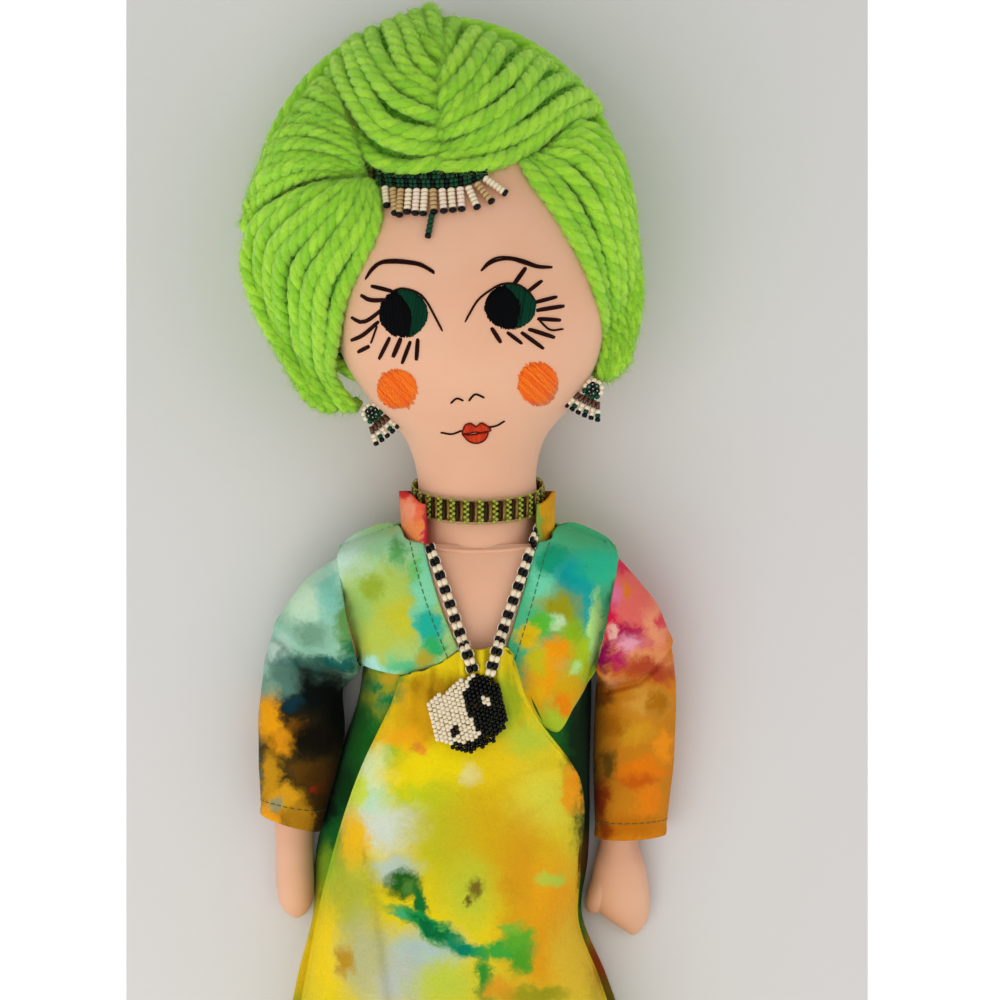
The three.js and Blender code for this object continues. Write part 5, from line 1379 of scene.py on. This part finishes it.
def limb_rings(stations, places, turns, inset=0.0, depth=None):
    """Oval rings between an outer and an inner edge; places count stations, depth may limit the ovals."""
    rows = spline([[k, *row] for k, row in enumerate(stations)])(places)
    outer = np.stack([rows[:, 0], rows[:, 1], rows[:, 4]], -1)
    inner = np.stack([rows[:, 2], rows[:, 3], rows[:, 4]], -1)
    middle = (outer + inner) / 2
    along = outer - inner
    wide = np.linalg.norm(along, axis=1, keepdims=True)
    deep = rows[:, 5] - inset
    if depth is not None:
        deep = np.minimum(deep, depth(middle))
    ring = (along / wide * (wide / 2 - inset))[:, None] * np.cos(turns)[None, :, None]
    ring = ring + np.array([0, 0, 1.0]) * (deep[:, None] * np.sin(turns)[None, :])[..., None]
    return middle[:, None] + ring


def sleeve_grid(stations, side, folds):
    """The sleeve's outer face: ovals along the arm with folds and soft cross creases, flat on the table."""
    places = np.linspace(0, 7, SLEEVE_ROWS)
    turns = around(SLEEVE_SIDES)
    rings = limb_rings(stations, places, turns)
    out = rings - rings.mean(1, keepdims=True)
    out /= np.linalg.norm(out, axis=2, keepdims=True)
    t, turn = places[:, None], turns[None, :]
    top = np.clip(np.sin(turn), 0, 1) ** 0.6
    px, py = to_photo(rings)
    dent = folded(px, py, folds)
    creases = 0.55 * np.sin(5.1 * t + 2.2 * np.cos(turn) + side) * np.exp(-(((t - 4.6) / 1.7) ** 2))
    long_fold = 0.8 * np.cos(2 * turn + 0.9 * t + side) * np.clip(t - 4.2, 0, 1)
    hem = 0.45 * np.exp(-(((t - 6.95) / 0.12) ** 2))
    shape = rings + out * (dent * top + creases * top + long_fold * top + hem)[..., None]
    shape[..., 2] = np.maximum(shape[..., 2], 0.15)
    return shape


def rounded_end(rings, places, start, least):
    """Rings that close to a round end: drawn in by sqrt(1 - t^2), t from 0 at start to 1 at the last."""
    t = np.clip((places - start) / (places[-1] - start), 0, 1)
    centre = rings.mean(1, keepdims=True)
    return centre + (rings - centre) * np.sqrt(np.maximum(least, 1 - t**2))[:, None, None]


def shrunk(row, inset):
    """A station drawn in by the cloth over it."""
    ox, oy, ix, iy, z, deep = row
    length = np.hypot(ox - ix, oy - iy)
    x, y = (ox - ix) / length * inset, (oy - iy) / length * inset
    return [ox - x, oy - y, ix + x, iy + y, z, deep - inset]


def arm(side, stations, hand, dye, ground, phase, folds):
    """One sleeve with its upper arm and its forearm and mitten hand."""
    grid = sleeve_grid(stations, phase, folds)
    line = grid[int(SLEEVE_ROWS * HEM_STITCH)]
    stitches = seam_stitches(np.concatenate([line, line[:1]]) + [0, 0, 0.22])
    cotton = dyed_cotton(f"sleeve_{side}_cotton", ground, dye)
    parts = [sheet_part(grid, CLOTH, wrap=True), *stitches]
    picks = picks_of(parts, [0] + [1] * len(stitches))
    sleeve = tailored(f"sleeve_{side}", parts, [cotton, seam_thread], picks)
    elbow = np.array(stations[ELBOW_STATION])
    middle = np.array([(elbow[0] + elbow[2]) / 2, (elbow[1] + elbow[3]) / 2, elbow[4]])

    def pillow(spots):
        """Half depth near the elbow: the arm flattens towards its line of stitches."""
        return np.linalg.norm(spots[:, :2] - middle[:2], axis=1)

    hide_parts(f"sleeve_{side}")
    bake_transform(sleeve)

    turns = around(LIMB_SIDES)
    rings = limb_rings(stations, np.linspace(0.03, ELBOW_STATION - 0.025, 34), turns, LAYER + 2.2, pillow)
    rings[..., 2] = np.maximum(rings[..., 2], LAYER)
    stuffed(f"upper_arm_{side}", lofted(rings))
    rows = [shrunk(row, LAYER + 1.0) for row in stations[ELBOW_STATION:7]] + hand
    places = np.concatenate([np.linspace(0.025, 5.6, 66), np.linspace(5.65, 6, 10)])
    rings = limb_rings(rows, places, turns, 0.0, pillow)
    rings = rounded_end(rings, places, *HAND_ROUND)
    lowest = np.where(places < 2.75, LAYER + 0.2, TABLE_GAP)
    rings[..., 2] = np.maximum(rings[..., 2], lowest[:, None])
    parts = [lofted(rings)]
    if side == "right":
        places = np.linspace(0, 2, 24)
        thumb = rounded_end(limb_rings(THUMB, places, turns), places, *THUMB_ROUND)
        thumb[..., 2] = np.maximum(thumb[..., 2], TABLE_GAP)
        parts.append(lofted(thumb))
    stuffed(f"forearm_{side}", joined(parts))


arm("left", SLEEVE_LEFT, HAND_LEFT, SLEEVE_LEFT_DYE, "#9CC8AE", 0.4, SLEEVE_LEFT_FOLDS)
arm("right", SLEEVE_RIGHT, HAND_RIGHT, SLEEVE_RIGHT_DYE, "#DE8C12", 2.1, SLEEVE_RIGHT_FOLDS)

# Legs
# Plain stuffed legs with the feet turned up, under the skirt and past its hem. [Y, half width, half depth]
LEG_X = 18.6
HIP_Z = 19.0
LEG_STATIONS = [[-258, 11.2, 11.4], [-238, 11.4, 11.6], [-210, 12.6, 12.8], [-165, 15.6, 15.6],
                [-115, 17.4, 17.4], [-82, 17.4, 17.2], [-62.35, 16, 17.0]]
FOOT_STATIONS = [
    [0.1, -259, 9.5, 10.5], [10, -260, 11.6, 12.4], [28, -261.5, 12, 11.4], [42, -262.5, 10.6, 9],
    [49, -263, 4, 3.4],
]
leg_at = spline(LEG_STATIONS)
foot_at = spline(FOOT_STATIONS)


def leg(side, x):
    """One leg: ovals from the hip's line of stitches to the heel, and a foot as ovals from the table up."""
    turns = around(LIMB_SIDES)
    y = np.concatenate([np.linspace(-262, -82, 46), np.linspace(-81, -62.4, 24)])[:, None]
    a, b = np.moveaxis(leg_at(y), -1, 0)
    deep = np.minimum(b, HIP_Y - y)
    z = HIP_Z + (LAYER + b - HIP_Z) * np.minimum(1, (HIP_Y - y) / b)
    rings = np.stack([x + a * np.cos(turns), y + 0 * turns, z + deep * np.sin(turns)], -1)
    rings[..., 2] = np.maximum(rings[..., 2], LAYER)
    height = np.concatenate([np.linspace(TABLE_GAP, 44, 28), np.linspace(45, 49, 10)])[:, None]
    middle, wide, long = np.moveaxis(foot_at(height), -1, 0)
    foot = np.stack([x + wide * np.cos(turns), middle + long * np.sin(turns), height + 0 * turns], -1)
    stuffed(f"leg_{side}", joined([lofted(rings), lofted(foot)]))


leg("left", -LEG_X)
leg("right", LEG_X)

# Skirt
# Front and back panels sewn together at the sides. The front hangs from the yoke, lies in one broad fold
# with a turned-over edge at each side, and spreads towards the hem; the back lies flat under the legs.
# [Y, left side, left fold, right fold, right side, front height, fold edge height]
HEM_Y = -229.0
SKIRT_LINES = [
    [HEM_Y, -92, -86, 86, 92, 41, 4.5], [-160, -81, -77, 66, 70, 47, 4.5], [-100, -71, -67, 47, 50, 52, 6],
    [-75, -65, -62, 38.2, 40.4, 54, 12], [-55, -64.2, -57, 38.8, 42.8, 55.5, 17],
    [-14, -54.5, -43.5, 36.4, 43.6, 57.2, 36], [10, -47, -32.5, 20, 44.2, 57.2, 47],
    [34, -44.2, -25, 11, 44.2, 57.4, 50],
]
SEAM_LINE = [
    (-60, 24.1), (-41, 24.1), (-28.6, 21.5), (-20.8, 23.4), (-13, 26.7), (-6.8, 31.2), (2, 32), (11, 32.8),
    (18.5, 21), (26, 9), (31, 4.5), (36, 11), (43.2, 21.7), (60, 21.7),
]
FOLD_STEP = 5.0
SKIRT_EASE = 1.5
SIDE_LIFT = 2.3
SIDE_SINK = 1.5
SIDE_ROUND = 0.62
SKIRT_ROWS = 170
SKIRT_BANDS = (26, 6, 120, 6, 26)
SKIRT_DYE_AND_SHADE = [
    # The dark green patch at (588, 760) is partly painted shade under the right folded edge; the rest is
    # dye.
    (340, 830, 26, 120, "#2E8A38", 0.4), (588, 760, 20, 90, "#143C22", 0.4),
    (598, 920, 16, 70, "#A3641A", 0.5), (345, 770, 12, 40, "#1B7A2C", 0.6),
    (326, 868, 12, 40, "#93C43A", 0.7), (588, 860, 9, 40, "#5E4A16", 0.7),
    (450, 800, 112, 170, "#EBD31C", 0.25), (382, 684, 20, 12, "#B29A1C", 0.7),
    (392, 684, 12, 8, "#5BA440", 0.8), (401, 697, 9, 9, "#2C9C50", 0.7), (381, 702, 9, 14, "#8DB23C", 0.8),
    (376, 714, 6, 8, "#3FA27C", 0.9), (435, 690, 30, 16, "#C7A318", 0.8),
    (420, 716, 30, 26, "#D8A614", 0.8), (404, 740, 24, 12, "#F0B01C", 0.8),
    (418, 748, 6, 5, "#EA5F3C", 0.9), (392, 758, 12, 10, "#7DB630", 0.8),
    (372, 776, 20, 24, "#D8EBC4", 0.7), (376, 802, 24, 13, "#BFE4BA", 0.8),
    (356, 792, 10, 20, "#D4E352", 0.8), (455, 772, 70, 26, "#F3DD10", 0.7),
    (469, 776, 9, 12, "#EFE8A6", 0.9), (420, 800, 32, 15, "#CDD422", 0.8),
    (388, 826, 36, 22, "#D9DFCB", 0.7), (354, 842, 14, 30, "#F4C41C", 0.7),
    (396, 868, 26, 15, "#C1D0C0", 0.8), (452, 838, 40, 46, "#C6C228", 0.8),
    (505, 830, 44, 56, "#DDB71C", 0.8), (516, 760, 36, 26, "#EDCD1E", 0.8),
    (541, 800, 28, 30, "#DFD548", 0.8), (573, 790, 9, 22, "#F2A91C", 0.8),
    (505, 705, 14, 30, "#B7C832", 0.7), (530, 740, 22, 18, "#C6CF42", 0.8),
    (524, 882, 26, 56, "#DDA61E", 0.7), (556, 905, 24, 46, "#EFAE1C", 0.7),
    (552, 878, 14, 8, "#C4D04C", 0.8), (541, 950, 34, 40, "#E6A81C", 0.7),
    (574, 962, 22, 46, "#E9C63C", 0.7), (470, 894, 22, 32, "#C6CC3C", 0.8),
    (474, 888, 9, 9, "#877728", 0.8), (466, 901, 4, 5, "#7C6C24", 0.9), (422, 952, 40, 20, "#B8CDC0", 0.7),
    (400, 982, 32, 26, "#C4C8BA", 0.7), (442, 985, 28, 24, "#C7D34C", 0.8),
    (330, 950, 28, 60, "#F1D31C", 0.7), (356, 902, 20, 38, "#B9BB3C", 0.8),
    (362, 955, 22, 36, "#BEBD88", 0.8), (345, 962, 8, 14, "#C19A28", 0.9),
    (403, 884, 18, 12, "#2A6A1E", 0.7), (408, 887, 9, 5, "#5E8F3C", 0.9),
    (421, 905, 22, 8, "#1D7A36", 0.6, 78), (424, 924, 40, 9, "#1E9A4E", 0.6, 27),
    (400, 914, 9, 5, "#4DB87A", 0.8, 27), (436, 931, 30, 4, "#0B7440", 0.8, 29),
    (470, 949, 25, 8, "#169A62", 0.7, 13), (462, 947, 11, 4, "#0C8A6C", 0.8, 20),
    (505, 949, 27, 9, "#4FAE40", 0.7, -4), (518, 938, 12, 12, "#6DB534", 0.7),
    (521, 962, 11, 14, "#5EA82E", 0.7), (513, 929, 9, 6, "#8CC03E", 0.8),
    (487, 985, 26, 9, "#3D9A36", 0.7, 82), (502, 992, 18, 12, "#E1A62A", 0.8),
    (536, 996, 28, 9, "#A8A122", 0.8), (430, 1100, 130, 80, "#DDD23C", 0.5),
    (360, 1180, 70, 60, "#9CC25A", 0.7), (540, 1150, 60, 70, "#E9A82A", 0.7),
    (450, 1250, 80, 60, "#4FA872", 0.7), (330, 1300, 60, 60, "#E4C03A", 0.7),
    (590, 1290, 60, 60, "#C9CF62", 0.7), (470, 1340, 120, 24, "#3E9C86", 0.7),
]
# Green dye of the strips beyond the folds and of the back. The darkest greens (#14481A, #0E3A1A, #0C3418),
# low beside the folded edges, are partly painted shade.
SKIRT_SIDE_DYE_AND_SHADE = [
    (381, 690, 18, 22, "#A9A82A", 0.7), (390, 676, 12, 7, "#C7A82A", 0.8), (374, 686, 8, 8, "#2E8A4A", 0.8),
    (386, 702, 8, 8, "#1F8A4E", 0.8), (360, 735, 16, 26, "#1F6A1E", 0.7),
    (346, 790, 18, 32, "#14481A", 0.7), (334, 832, 15, 26, "#1F7030", 0.7),
    (331, 812, 9, 11, "#0E3A1A", 0.8), (322, 868, 13, 22, "#8FB02E", 0.8),
    (314, 908, 14, 26, "#C9C22A", 0.8), (300, 966, 24, 50, "#EBCB22", 0.7),
    (588, 760, 26, 96, "#0C3418", 0.5), (590, 858, 14, 26, "#6B4A1C", 0.8),
    (600, 930, 16, 22, "#C98A1E", 0.8), (602, 962, 16, 20, "#A3511A", 0.8),
    (607, 992, 14, 16, "#8A6A1E", 0.8), (300, 1120, 40, 90, "#9CB83A", 0.8),
    (620, 1120, 40, 90, "#5E8A3A", 0.8),
]
SKIRT_FOLDS = [
    ([(366, 866), (373, 930), (383, 1000), (388, 1100)], 3.2, 7, 16),
    ([(352, 880), (344, 940), (340, 1000), (336, 1100)], -2.2, 10, 10),
    ([(512, 655), (513, 690), (522, 720)], -1.8, 5, 5),
    ([(518, 650), (524, 690), (546, 722), (572, 764)], 1.8, 9, 6),
    ([(457, 652), (446, 664), (436, 690)], -1.2, 5, 5), ([(470, 652), (468, 680)], -0.9, 4, 4),
    ([(492, 652), (494, 684)], -0.9, 4, 4), ([(400, 684), (420, 700), (440, 720)], 1.3, 8, 10),
    ([(405, 672), (432, 690)], -1.4, 5, 5), ([(396, 772), (380, 805), (372, 850)], 1.6, 16, 10),
    ([(470, 900), (468, 1000), (466, 1100)], 1.6, 22, 22),
    ([(425, 880), (422, 1000), (420, 1100)], -1.4, 14, 14),
    ([(545, 860), (552, 940), (575, 1000), (590, 1100)], 1.7, 18, 14),
    ([(515, 880), (520, 1000)], -1.3, 12, 12), ([(435, 735), (407, 758), (393, 788)], 2.0, 12, 4),
    ([(572, 764), (534, 776), (494, 798)], 1.3, 8, 8), ([(566, 790), (540, 802), (515, 822)], -0.8, 6, 6),
    ([(404, 800), (428, 818)], -0.8, 5, 5),
]
UNDERLAP = 3.5
WAIST_GUESS_Y = 22.0
SKIRT_TOP = 33.0
HIP_FADE = 24.0
SIDE_FADE = (10.0, 9.0)
skirt_at = spline(SKIRT_LINES)


def eased(share):
    """A share from 0 to 1 that starts and ends gently: 3 s^2 - 2 s^3."""
    return share * share * (3 - 2 * share)


def underlap(fold_l, fold_r):
    """How far the cloth goes back under a folded edge."""
    return np.minimum(UNDERLAP, (fold_r - fold_l) / 9)


def over_body(x, y):
    """Least height of the skirt's upper face where the torso carries it, let down beyond sides and hips."""
    inside_x = eased(np.clip((torso_at(y)[..., 0] + SIDE_FADE[0] - np.abs(x)) / SIDE_FADE[1], 0, 1))
    inside_y = np.clip((y - HIP_Y) / HIP_FADE, 0, 1)
    return (torso_front(x, y) + LAYER + SKIRT_EASE) * inside_x * inside_y


def skirt_x(band, share, y):
    """Place across of a column: the lines of the skirt at y, parted into side, edge, middle, edge, side."""
    side_l, fold_l, fold_r, side_r = np.moveaxis(skirt_at(y), -1, 0)[:4]
    lap = underlap(fold_l, fold_r)
    lines = np.stack([side_l, fold_l + lap, fold_l, fold_r, fold_r - lap, side_r])
    low = np.take_along_axis(lines, band[None], 0)[0]
    high = np.take_along_axis(lines, band[None] + 1, 0)[0]
    return low + (high - low) * share


def skirt_front_grid():
    """The skirt's front as a grid, and which of its cells lie beyond the folds: z is a broad fold over the
    body, lower by a step beyond each folded edge."""
    band = np.concatenate([np.full(n, k) for k, n in enumerate(SKIRT_BANDS)] + [[len(SKIRT_BANDS) - 1]])
    share = np.concatenate([np.arange(n) / n for n in SKIRT_BANDS] + [[1.0]])
    round_l = np.where(band == 0, 1 - np.sin((1 - share) * np.pi / 2) ** SIDE_ROUND, share)
    share = np.where(band == 4, np.sin(share * np.pi / 2) ** SIDE_ROUND, round_l)
    seam_x = np.array([p[0] for p in SEAM_LINE])
    seam_y = np.array([p[1] for p in SEAM_LINE])
    top = np.full(len(band), WAIST_GUESS_Y)
    for _ in range(10):
        top = 0.5 * top + 0.5 * np.interp(skirt_x(band, share, top), seam_x, seam_y)
    t = np.linspace(0, 1, SKIRT_ROWS)[:, None] ** 1.25
    y = top[None] + (HEM_Y - top)[None] * t
    bands = np.broadcast_to(band, y.shape)
    shares = np.broadcast_to(share, y.shape)
    x = skirt_x(bands.ravel(), shares.ravel(), y.ravel()).reshape(y.shape)
    side_l, fold_l, fold_r, side_r, high, edge = np.moveaxis(skirt_at(y), -1, 0)
    middle = (fold_l + fold_r) / 2
    out = np.clip((x - middle) / (fold_r - middle), -1, 1)
    rim = np.maximum(edge, over_body(np.where(out < 0, fold_l, fold_r), y) + FOLD_STEP)
    crown = rim + np.maximum(0, high - rim) * np.sqrt(1 - np.abs(out) ** 3)
    down = np.clip((SKIRT_TOP - y) / (SKIRT_TOP - HEM_Y), 0, 1)
    px, py = to_photo(np.stack([x, y, crown], -1))
    wave = 1.6 * down * np.cos(3 * np.pi * out) * (1 - out**2) + folded(px, py, SKIRT_FOLDS)
    gather = 0.9 * np.sin(x * 0.95) * np.exp(-(((top[None] - y) / 16) ** 2))
    drape = 1.5 * np.sin(0.13 * x + 0.05 * y + 0.6) * np.sin(0.03 * y + 0.4)
    drape = drape * (1 - out**2) * np.clip(t * 5, 0, 1)
    lip = 1.3 * np.exp(-(((1 - np.abs(out)) * 22) ** 2)) * np.clip(t * 6, 0, 1)
    front = np.maximum(crown + wave + gather + drape + lip, over_body(x, y) + 0.3)
    left = out < 0
    lap = underlap(fold_l, fold_r)
    start_x = np.where(left, fold_l + lap, fold_r - lap)
    end_x = np.where(left, side_l, side_r)
    far = np.clip((x - start_x) / (end_x - start_x), 0, 1)
    start = np.maximum(np.maximum(edge - FOLD_STEP, over_body(start_x, y) - SIDE_SINK), SIDE_LIFT)
    fall = np.maximum(0, 1 - far ** (1 / SIDE_ROUND * 1.2)) ** SIDE_ROUND
    seated = np.where(np.abs(x) < torso_at(y)[..., 0], over_body(x, y) - SIDE_SINK, 0)
    side = np.maximum(SIDE_LIFT + (start - SIDE_LIFT) * fall, seated)
    step = np.where(bands == 1, share[None], np.where(bands == 3, 1 - share[None], 0))
    z = np.where(bands == 2, front, side)
    step = eased(step)
    z = np.where((bands == 1) | (bands == 3), side * (1 - step) + front * step, z)
    return np.stack([x, y, z], -1), (np.abs(bands[:-1, :-1] - 2) == 2).astype(int).ravel()


front_grid, side_cells = skirt_front_grid()
# Both skirt cottons carry dye, and beside the folded edges some painted shade.
skirt_cotton = dyed_cotton("skirt_cotton", "#DCCB34", SKIRT_DYE_AND_SHADE)
skirt_side_cotton = dyed_cotton("skirt_side_cotton", "#2B7A2E", SKIRT_SIDE_DYE_AND_SHADE)
skirt_part = sheet_part(front_grid, CLOTH)
rim_cells = np.zeros(len(skirt_part[1]) - 2 * len(side_cells), int)
cell_picks = np.concatenate([side_cells, side_cells, rim_cells])
skirt_front = tailored("skirt_front", [skirt_part], [skirt_cotton, skirt_side_cotton],
                       cell_picks)
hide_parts("skirt_front")
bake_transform(skirt_front)


def skirt_back_flat():
    """The skirt's back as a grid, flat on the table between the side seams."""
    y = np.linspace(22.7, HEM_Y, 90)
    side_l, _, _, side_r = np.moveaxis(skirt_at(y), -1, 0)[:4, :, None]
    x = side_l + (side_r - side_l) * np.linspace(0, 1, 40)
    return np.stack([x, y[:, None] + 0 * x, np.full(x.shape, CLOTH + 0.05)], -1)


skirt_back_grid = skirt_back_flat()
skirt_back = tailored("skirt_back", [sheet_part(skirt_back_grid, CLOTH)], [skirt_side_cotton])
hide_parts("skirt_back")
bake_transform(skirt_back)

# Choker
# A band of bugle beads round the neck: a lime column of seed beads, then two gold-brown bugles, and so on,
# edged with pale thread. It sits lower in front.
CHOKER_R = 24.5
CHOKER_Y = 88.2
CHOKER_H = 8.8
CHOKER_TILT = np.tan(np.radians(14))
CHOKER_COLUMNS = 87
BEADS["lime"] = bead_finish("lime_beads", "#A3B22C", 0.25)
BEADS["edging"] = finish_of("choker_edging", "#B9AC5E", 0.6)
BEADS["gold"] = finish_of("gold_bugles", "#8A6A1E", 0.22, Metallic=0.55, Coat_Weight=0.5)
BEADS["umber"] = finish_of("umber_bugles", "#3A240A", 0.2, Metallic=0.35, Specular_IOR_Level=0.3)


def choker_point(turn, along, out=0.0):
    """Place on the choker: round the neck by turn, and along Y from its sheared middle line."""
    y = CHOKER_Y - CHOKER_TILT * CHOKER_R * np.sin(turn) + along
    return np.array([(CHOKER_R + out) * np.cos(turn), y, NECK_Z + (CHOKER_R + out) * np.sin(turn)])


choker_entries = []
for k in range(CHOKER_COLUMNS):
    turn = 2 * np.pi * k / CHOKER_COLUMNS
    if k % 3 == 0:
        for row in range(9):
            lean = 0.021 * (-1) ** row
            spot = choker_point(turn + lean, (row - 4) * CHOKER_H / 9, 0.3)
            way = (0.35 * (-1) ** row * np.sin(turn), 1, 0)
            choker_entries.append(("lime", bead(spot, way, 0.72, 1.15, 8)))
    else:
        path = np.stack([choker_point(turn, s * CHOKER_H / 2) for s in np.linspace(-0.86, 0.86, 4)])
        choker_entries.append(("gold" if k % 3 == 1 else "umber", tube(path, 0.82, 6)))
edge_turns = np.linspace(0, 2 * np.pi, 361)
for end in (-1, 1):
    scallop = end * (CHOKER_H / 2 + 0.25 * np.abs(np.sin(edge_turns * CHOKER_COLUMNS / 6)))
    path = np.stack([choker_point(t, s, 0.35) for t, s in zip(edge_turns, scallop)])
    choker_entries.append(("edging", tube(path, 0.2, 5)))
beadwork("choker", choker_entries, "head")

# Bead rope and pendant
# A flat rope of two beads abreast in cream and black rows goes round the neck inside the collar and
# carries a woven hexagon parted in a light and a dark half, each with a dot of the other.
ROPE_LEFT = [(429, 545), (443, 584), (456, 622), (473.5, 672)]
ROPE_RIGHT = [(540, 520), (532, 545), (519, 584), (505, 624), (489.5, 676)]
ROPE_ROW = 2.65
ROPE_BEAD = 1.06
ROPE_BACK_R = 25.8
ROPE_BACK_Y = 74.0
ROPE_BACK_TURNS = (150, 390)
ROPE_BACK_STEPS = 70
ROPE_HINGE_Y = 69.5
TUNIC_GUESS_Z = 58.0
CLOTH_NEAR = 1.8
PENDANT_Z = 62.3
PENDANT_OUTLINE = [
    (428, 702.5), (462, 679.5), (471, 673.5), (484, 674), (497, 682), (509.5, 718), (494, 742.5),
    (470.5, 752), (438, 743),
]
PENDANT_DARK = [
    (472, 676), (468.5, 686), (461, 695), (464, 706), (466, 713), (471.5, 717), (475.5, 726), (479.5, 734),
    (478, 740), (470, 742), (463, 743), (452, 741), (452, 756), (482, 757), (500, 748), (514, 719),
    (500, 676),
]
LIGHT_DOT = (486.5, 700.5)
DARK_DOT = (456, 731.5)
DOT_REACH = 5.2
PENDANT_COLUMN = (9.5, 38.0)
PENDANT_PITCH = 1.62
PENDANT_REACH = 12


def skirt_height(x, y):
    """Height of the skirt's front at (x, y): the highest of its points close by, or 0 beyond its edge."""
    flat = front_grid.reshape(-1, 3)
    far = np.hypot(flat[:, 0] - np.asarray(x)[..., None], flat[:, 1] - np.asarray(y)[..., None])
    return np.where(far < CLOTH_NEAR, flat[:, 2], 0).max(-1)


def on_tunic(px, py, lift):
    """Points on the chest and tunic under a line of pixels, smoothed where the cloth steps."""
    z = np.full(np.shape(px), TUNIC_GUESS_Z)
    for _ in range(10):
        spot = from_photo(px, py, z)
        x, y = spot[..., 0], spot[..., 1]
        cloth = np.maximum(torso_front(x, y, LAYER) + 0.4, skirt_height(x, y))
        z = 0.4 * z + 0.6 * (cloth + lift)
    wide = np.pad(z, 4, mode="edge")
    z = np.maximum(z, np.convolve(wide, np.full(9, 1 / 9), mode="valid"))
    return from_photo(px, py, z)


def rope(path, first):
    """Rows of two beads across a path, by turns cream and black, with thread beside the dark rows."""
    length = run_of(path)[-1]
    count = int(length / ROPE_ROW)
    places = (np.arange(count) + 0.5) / count * length
    centres = spaced(path, places)
    ways = np.gradient(centres, axis=0)
    ways /= np.linalg.norm(ways, axis=1, keepdims=True)
    entries = []
    for k, (centre, way) in enumerate(zip(centres, ways)):
        up = np.array([centre[0], 0.0, centre[2] - NECK_Z])
        side = np.cross(way, up)
        side /= np.linalg.norm(side)
        dark = (k + first) % 2
        for end in (-1, 1):
            spot = centre + side * end * ROPE_BEAD * 0.92
            entries.append(("black" if dark else "cream", bead(spot, way, ROPE_BEAD, ROPE_ROW * 0.98)))
            if dark:
                s = np.linspace(0, 1, 6)[:, None]
                bow = side * end * ROPE_BEAD * (1.95 + 0.3 * np.sin(s * np.pi))
                entries.append(("thread", tube(centre + bow + way * (s - 0.5) * ROPE_ROW, 0.16, 5)))
    return entries


left_pixels = smooth_line(ROPE_LEFT, 40)
right_pixels = smooth_line(ROPE_RIGHT, 44)
left_path = on_tunic(left_pixels[:, 0], left_pixels[:, 1], ROPE_BEAD + 0.35)
beadwork("necklace_left", rope(left_path, 1), "necklace")
right_path = on_tunic(right_pixels[:, 0], right_pixels[:, 1], ROPE_BEAD + 0.35)
free = right_path[:, 1] < ROPE_HINGE_Y
beadwork("necklace_right", rope(right_path[free], 0), "necklace")
back_turns = np.radians(np.linspace(*ROPE_BACK_TURNS, ROPE_BACK_STEPS))
back_path = np.stack([ROPE_BACK_R * np.cos(back_turns), np.full(ROPE_BACK_STEPS, ROPE_BACK_Y),
                      NECK_Z + ROPE_BACK_R * np.sin(back_turns)], -1)
beadwork("necklace_back", rope(back_path, 0) + rope(right_path[~free], 1), "torso")


def pendant():
    """Beads of the hexagon in columns, each column half a bead lower than the last, parted by finish."""
    outline = [tuple(from_photo(x, y, PENDANT_Z)[:2]) for x, y in PENDANT_OUTLINE]
    way = np.array([PENDANT_COLUMN[0], -PENDANT_COLUMN[1]]) / np.hypot(*PENDANT_COLUMN)
    side = np.array([-way[1], way[0]])
    centre = np.mean(outline, axis=0)
    rng = np.random.default_rng(31)
    light, dark = [], []
    for column in range(-PENDANT_REACH, PENDANT_REACH + 1):
        for row in range(-PENDANT_REACH, PENDANT_REACH + 1):
            down = row + 0.5 * (column % 2)
            spot = centre + side * column * PENDANT_PITCH * 0.94 + way * down * PENDANT_PITCH
            if not inside(outline, spot[0], spot[1]):
                continue
            place = np.array([spot[0], spot[1], PENDANT_Z])
            px, py = to_photo(place)
            black = bool(inside(PENDANT_DARK, px, py))
            if np.hypot(px - LIGHT_DOT[0], py - LIGHT_DOT[1]) < DOT_REACH:
                black = False
            if np.hypot(px - DARK_DOT[0], py - DARK_DOT[1]) < DOT_REACH:
                black = True
            place += rng.normal(0, (0.08, 0.08, 0.12))
            tilt = np.array([way[0], way[1], 0.0]) + rng.normal(0, 0.16, 3)
            made = bead(place, tilt, PENDANT_PITCH * rng.uniform(0.5, 0.58), PENDANT_PITCH * 0.98, 10)
            if inside(PENDANT_DARK, px, py):
                dark.append(("black" if black else "cream", made))
            else:
                light.append(("black" if black else "cream", made))
    return light, dark


light_half, dark_half = pendant()
beadwork("pendant_light", light_half, "necklace")
beadwork("pendant_dark", dark_half, "necklace")
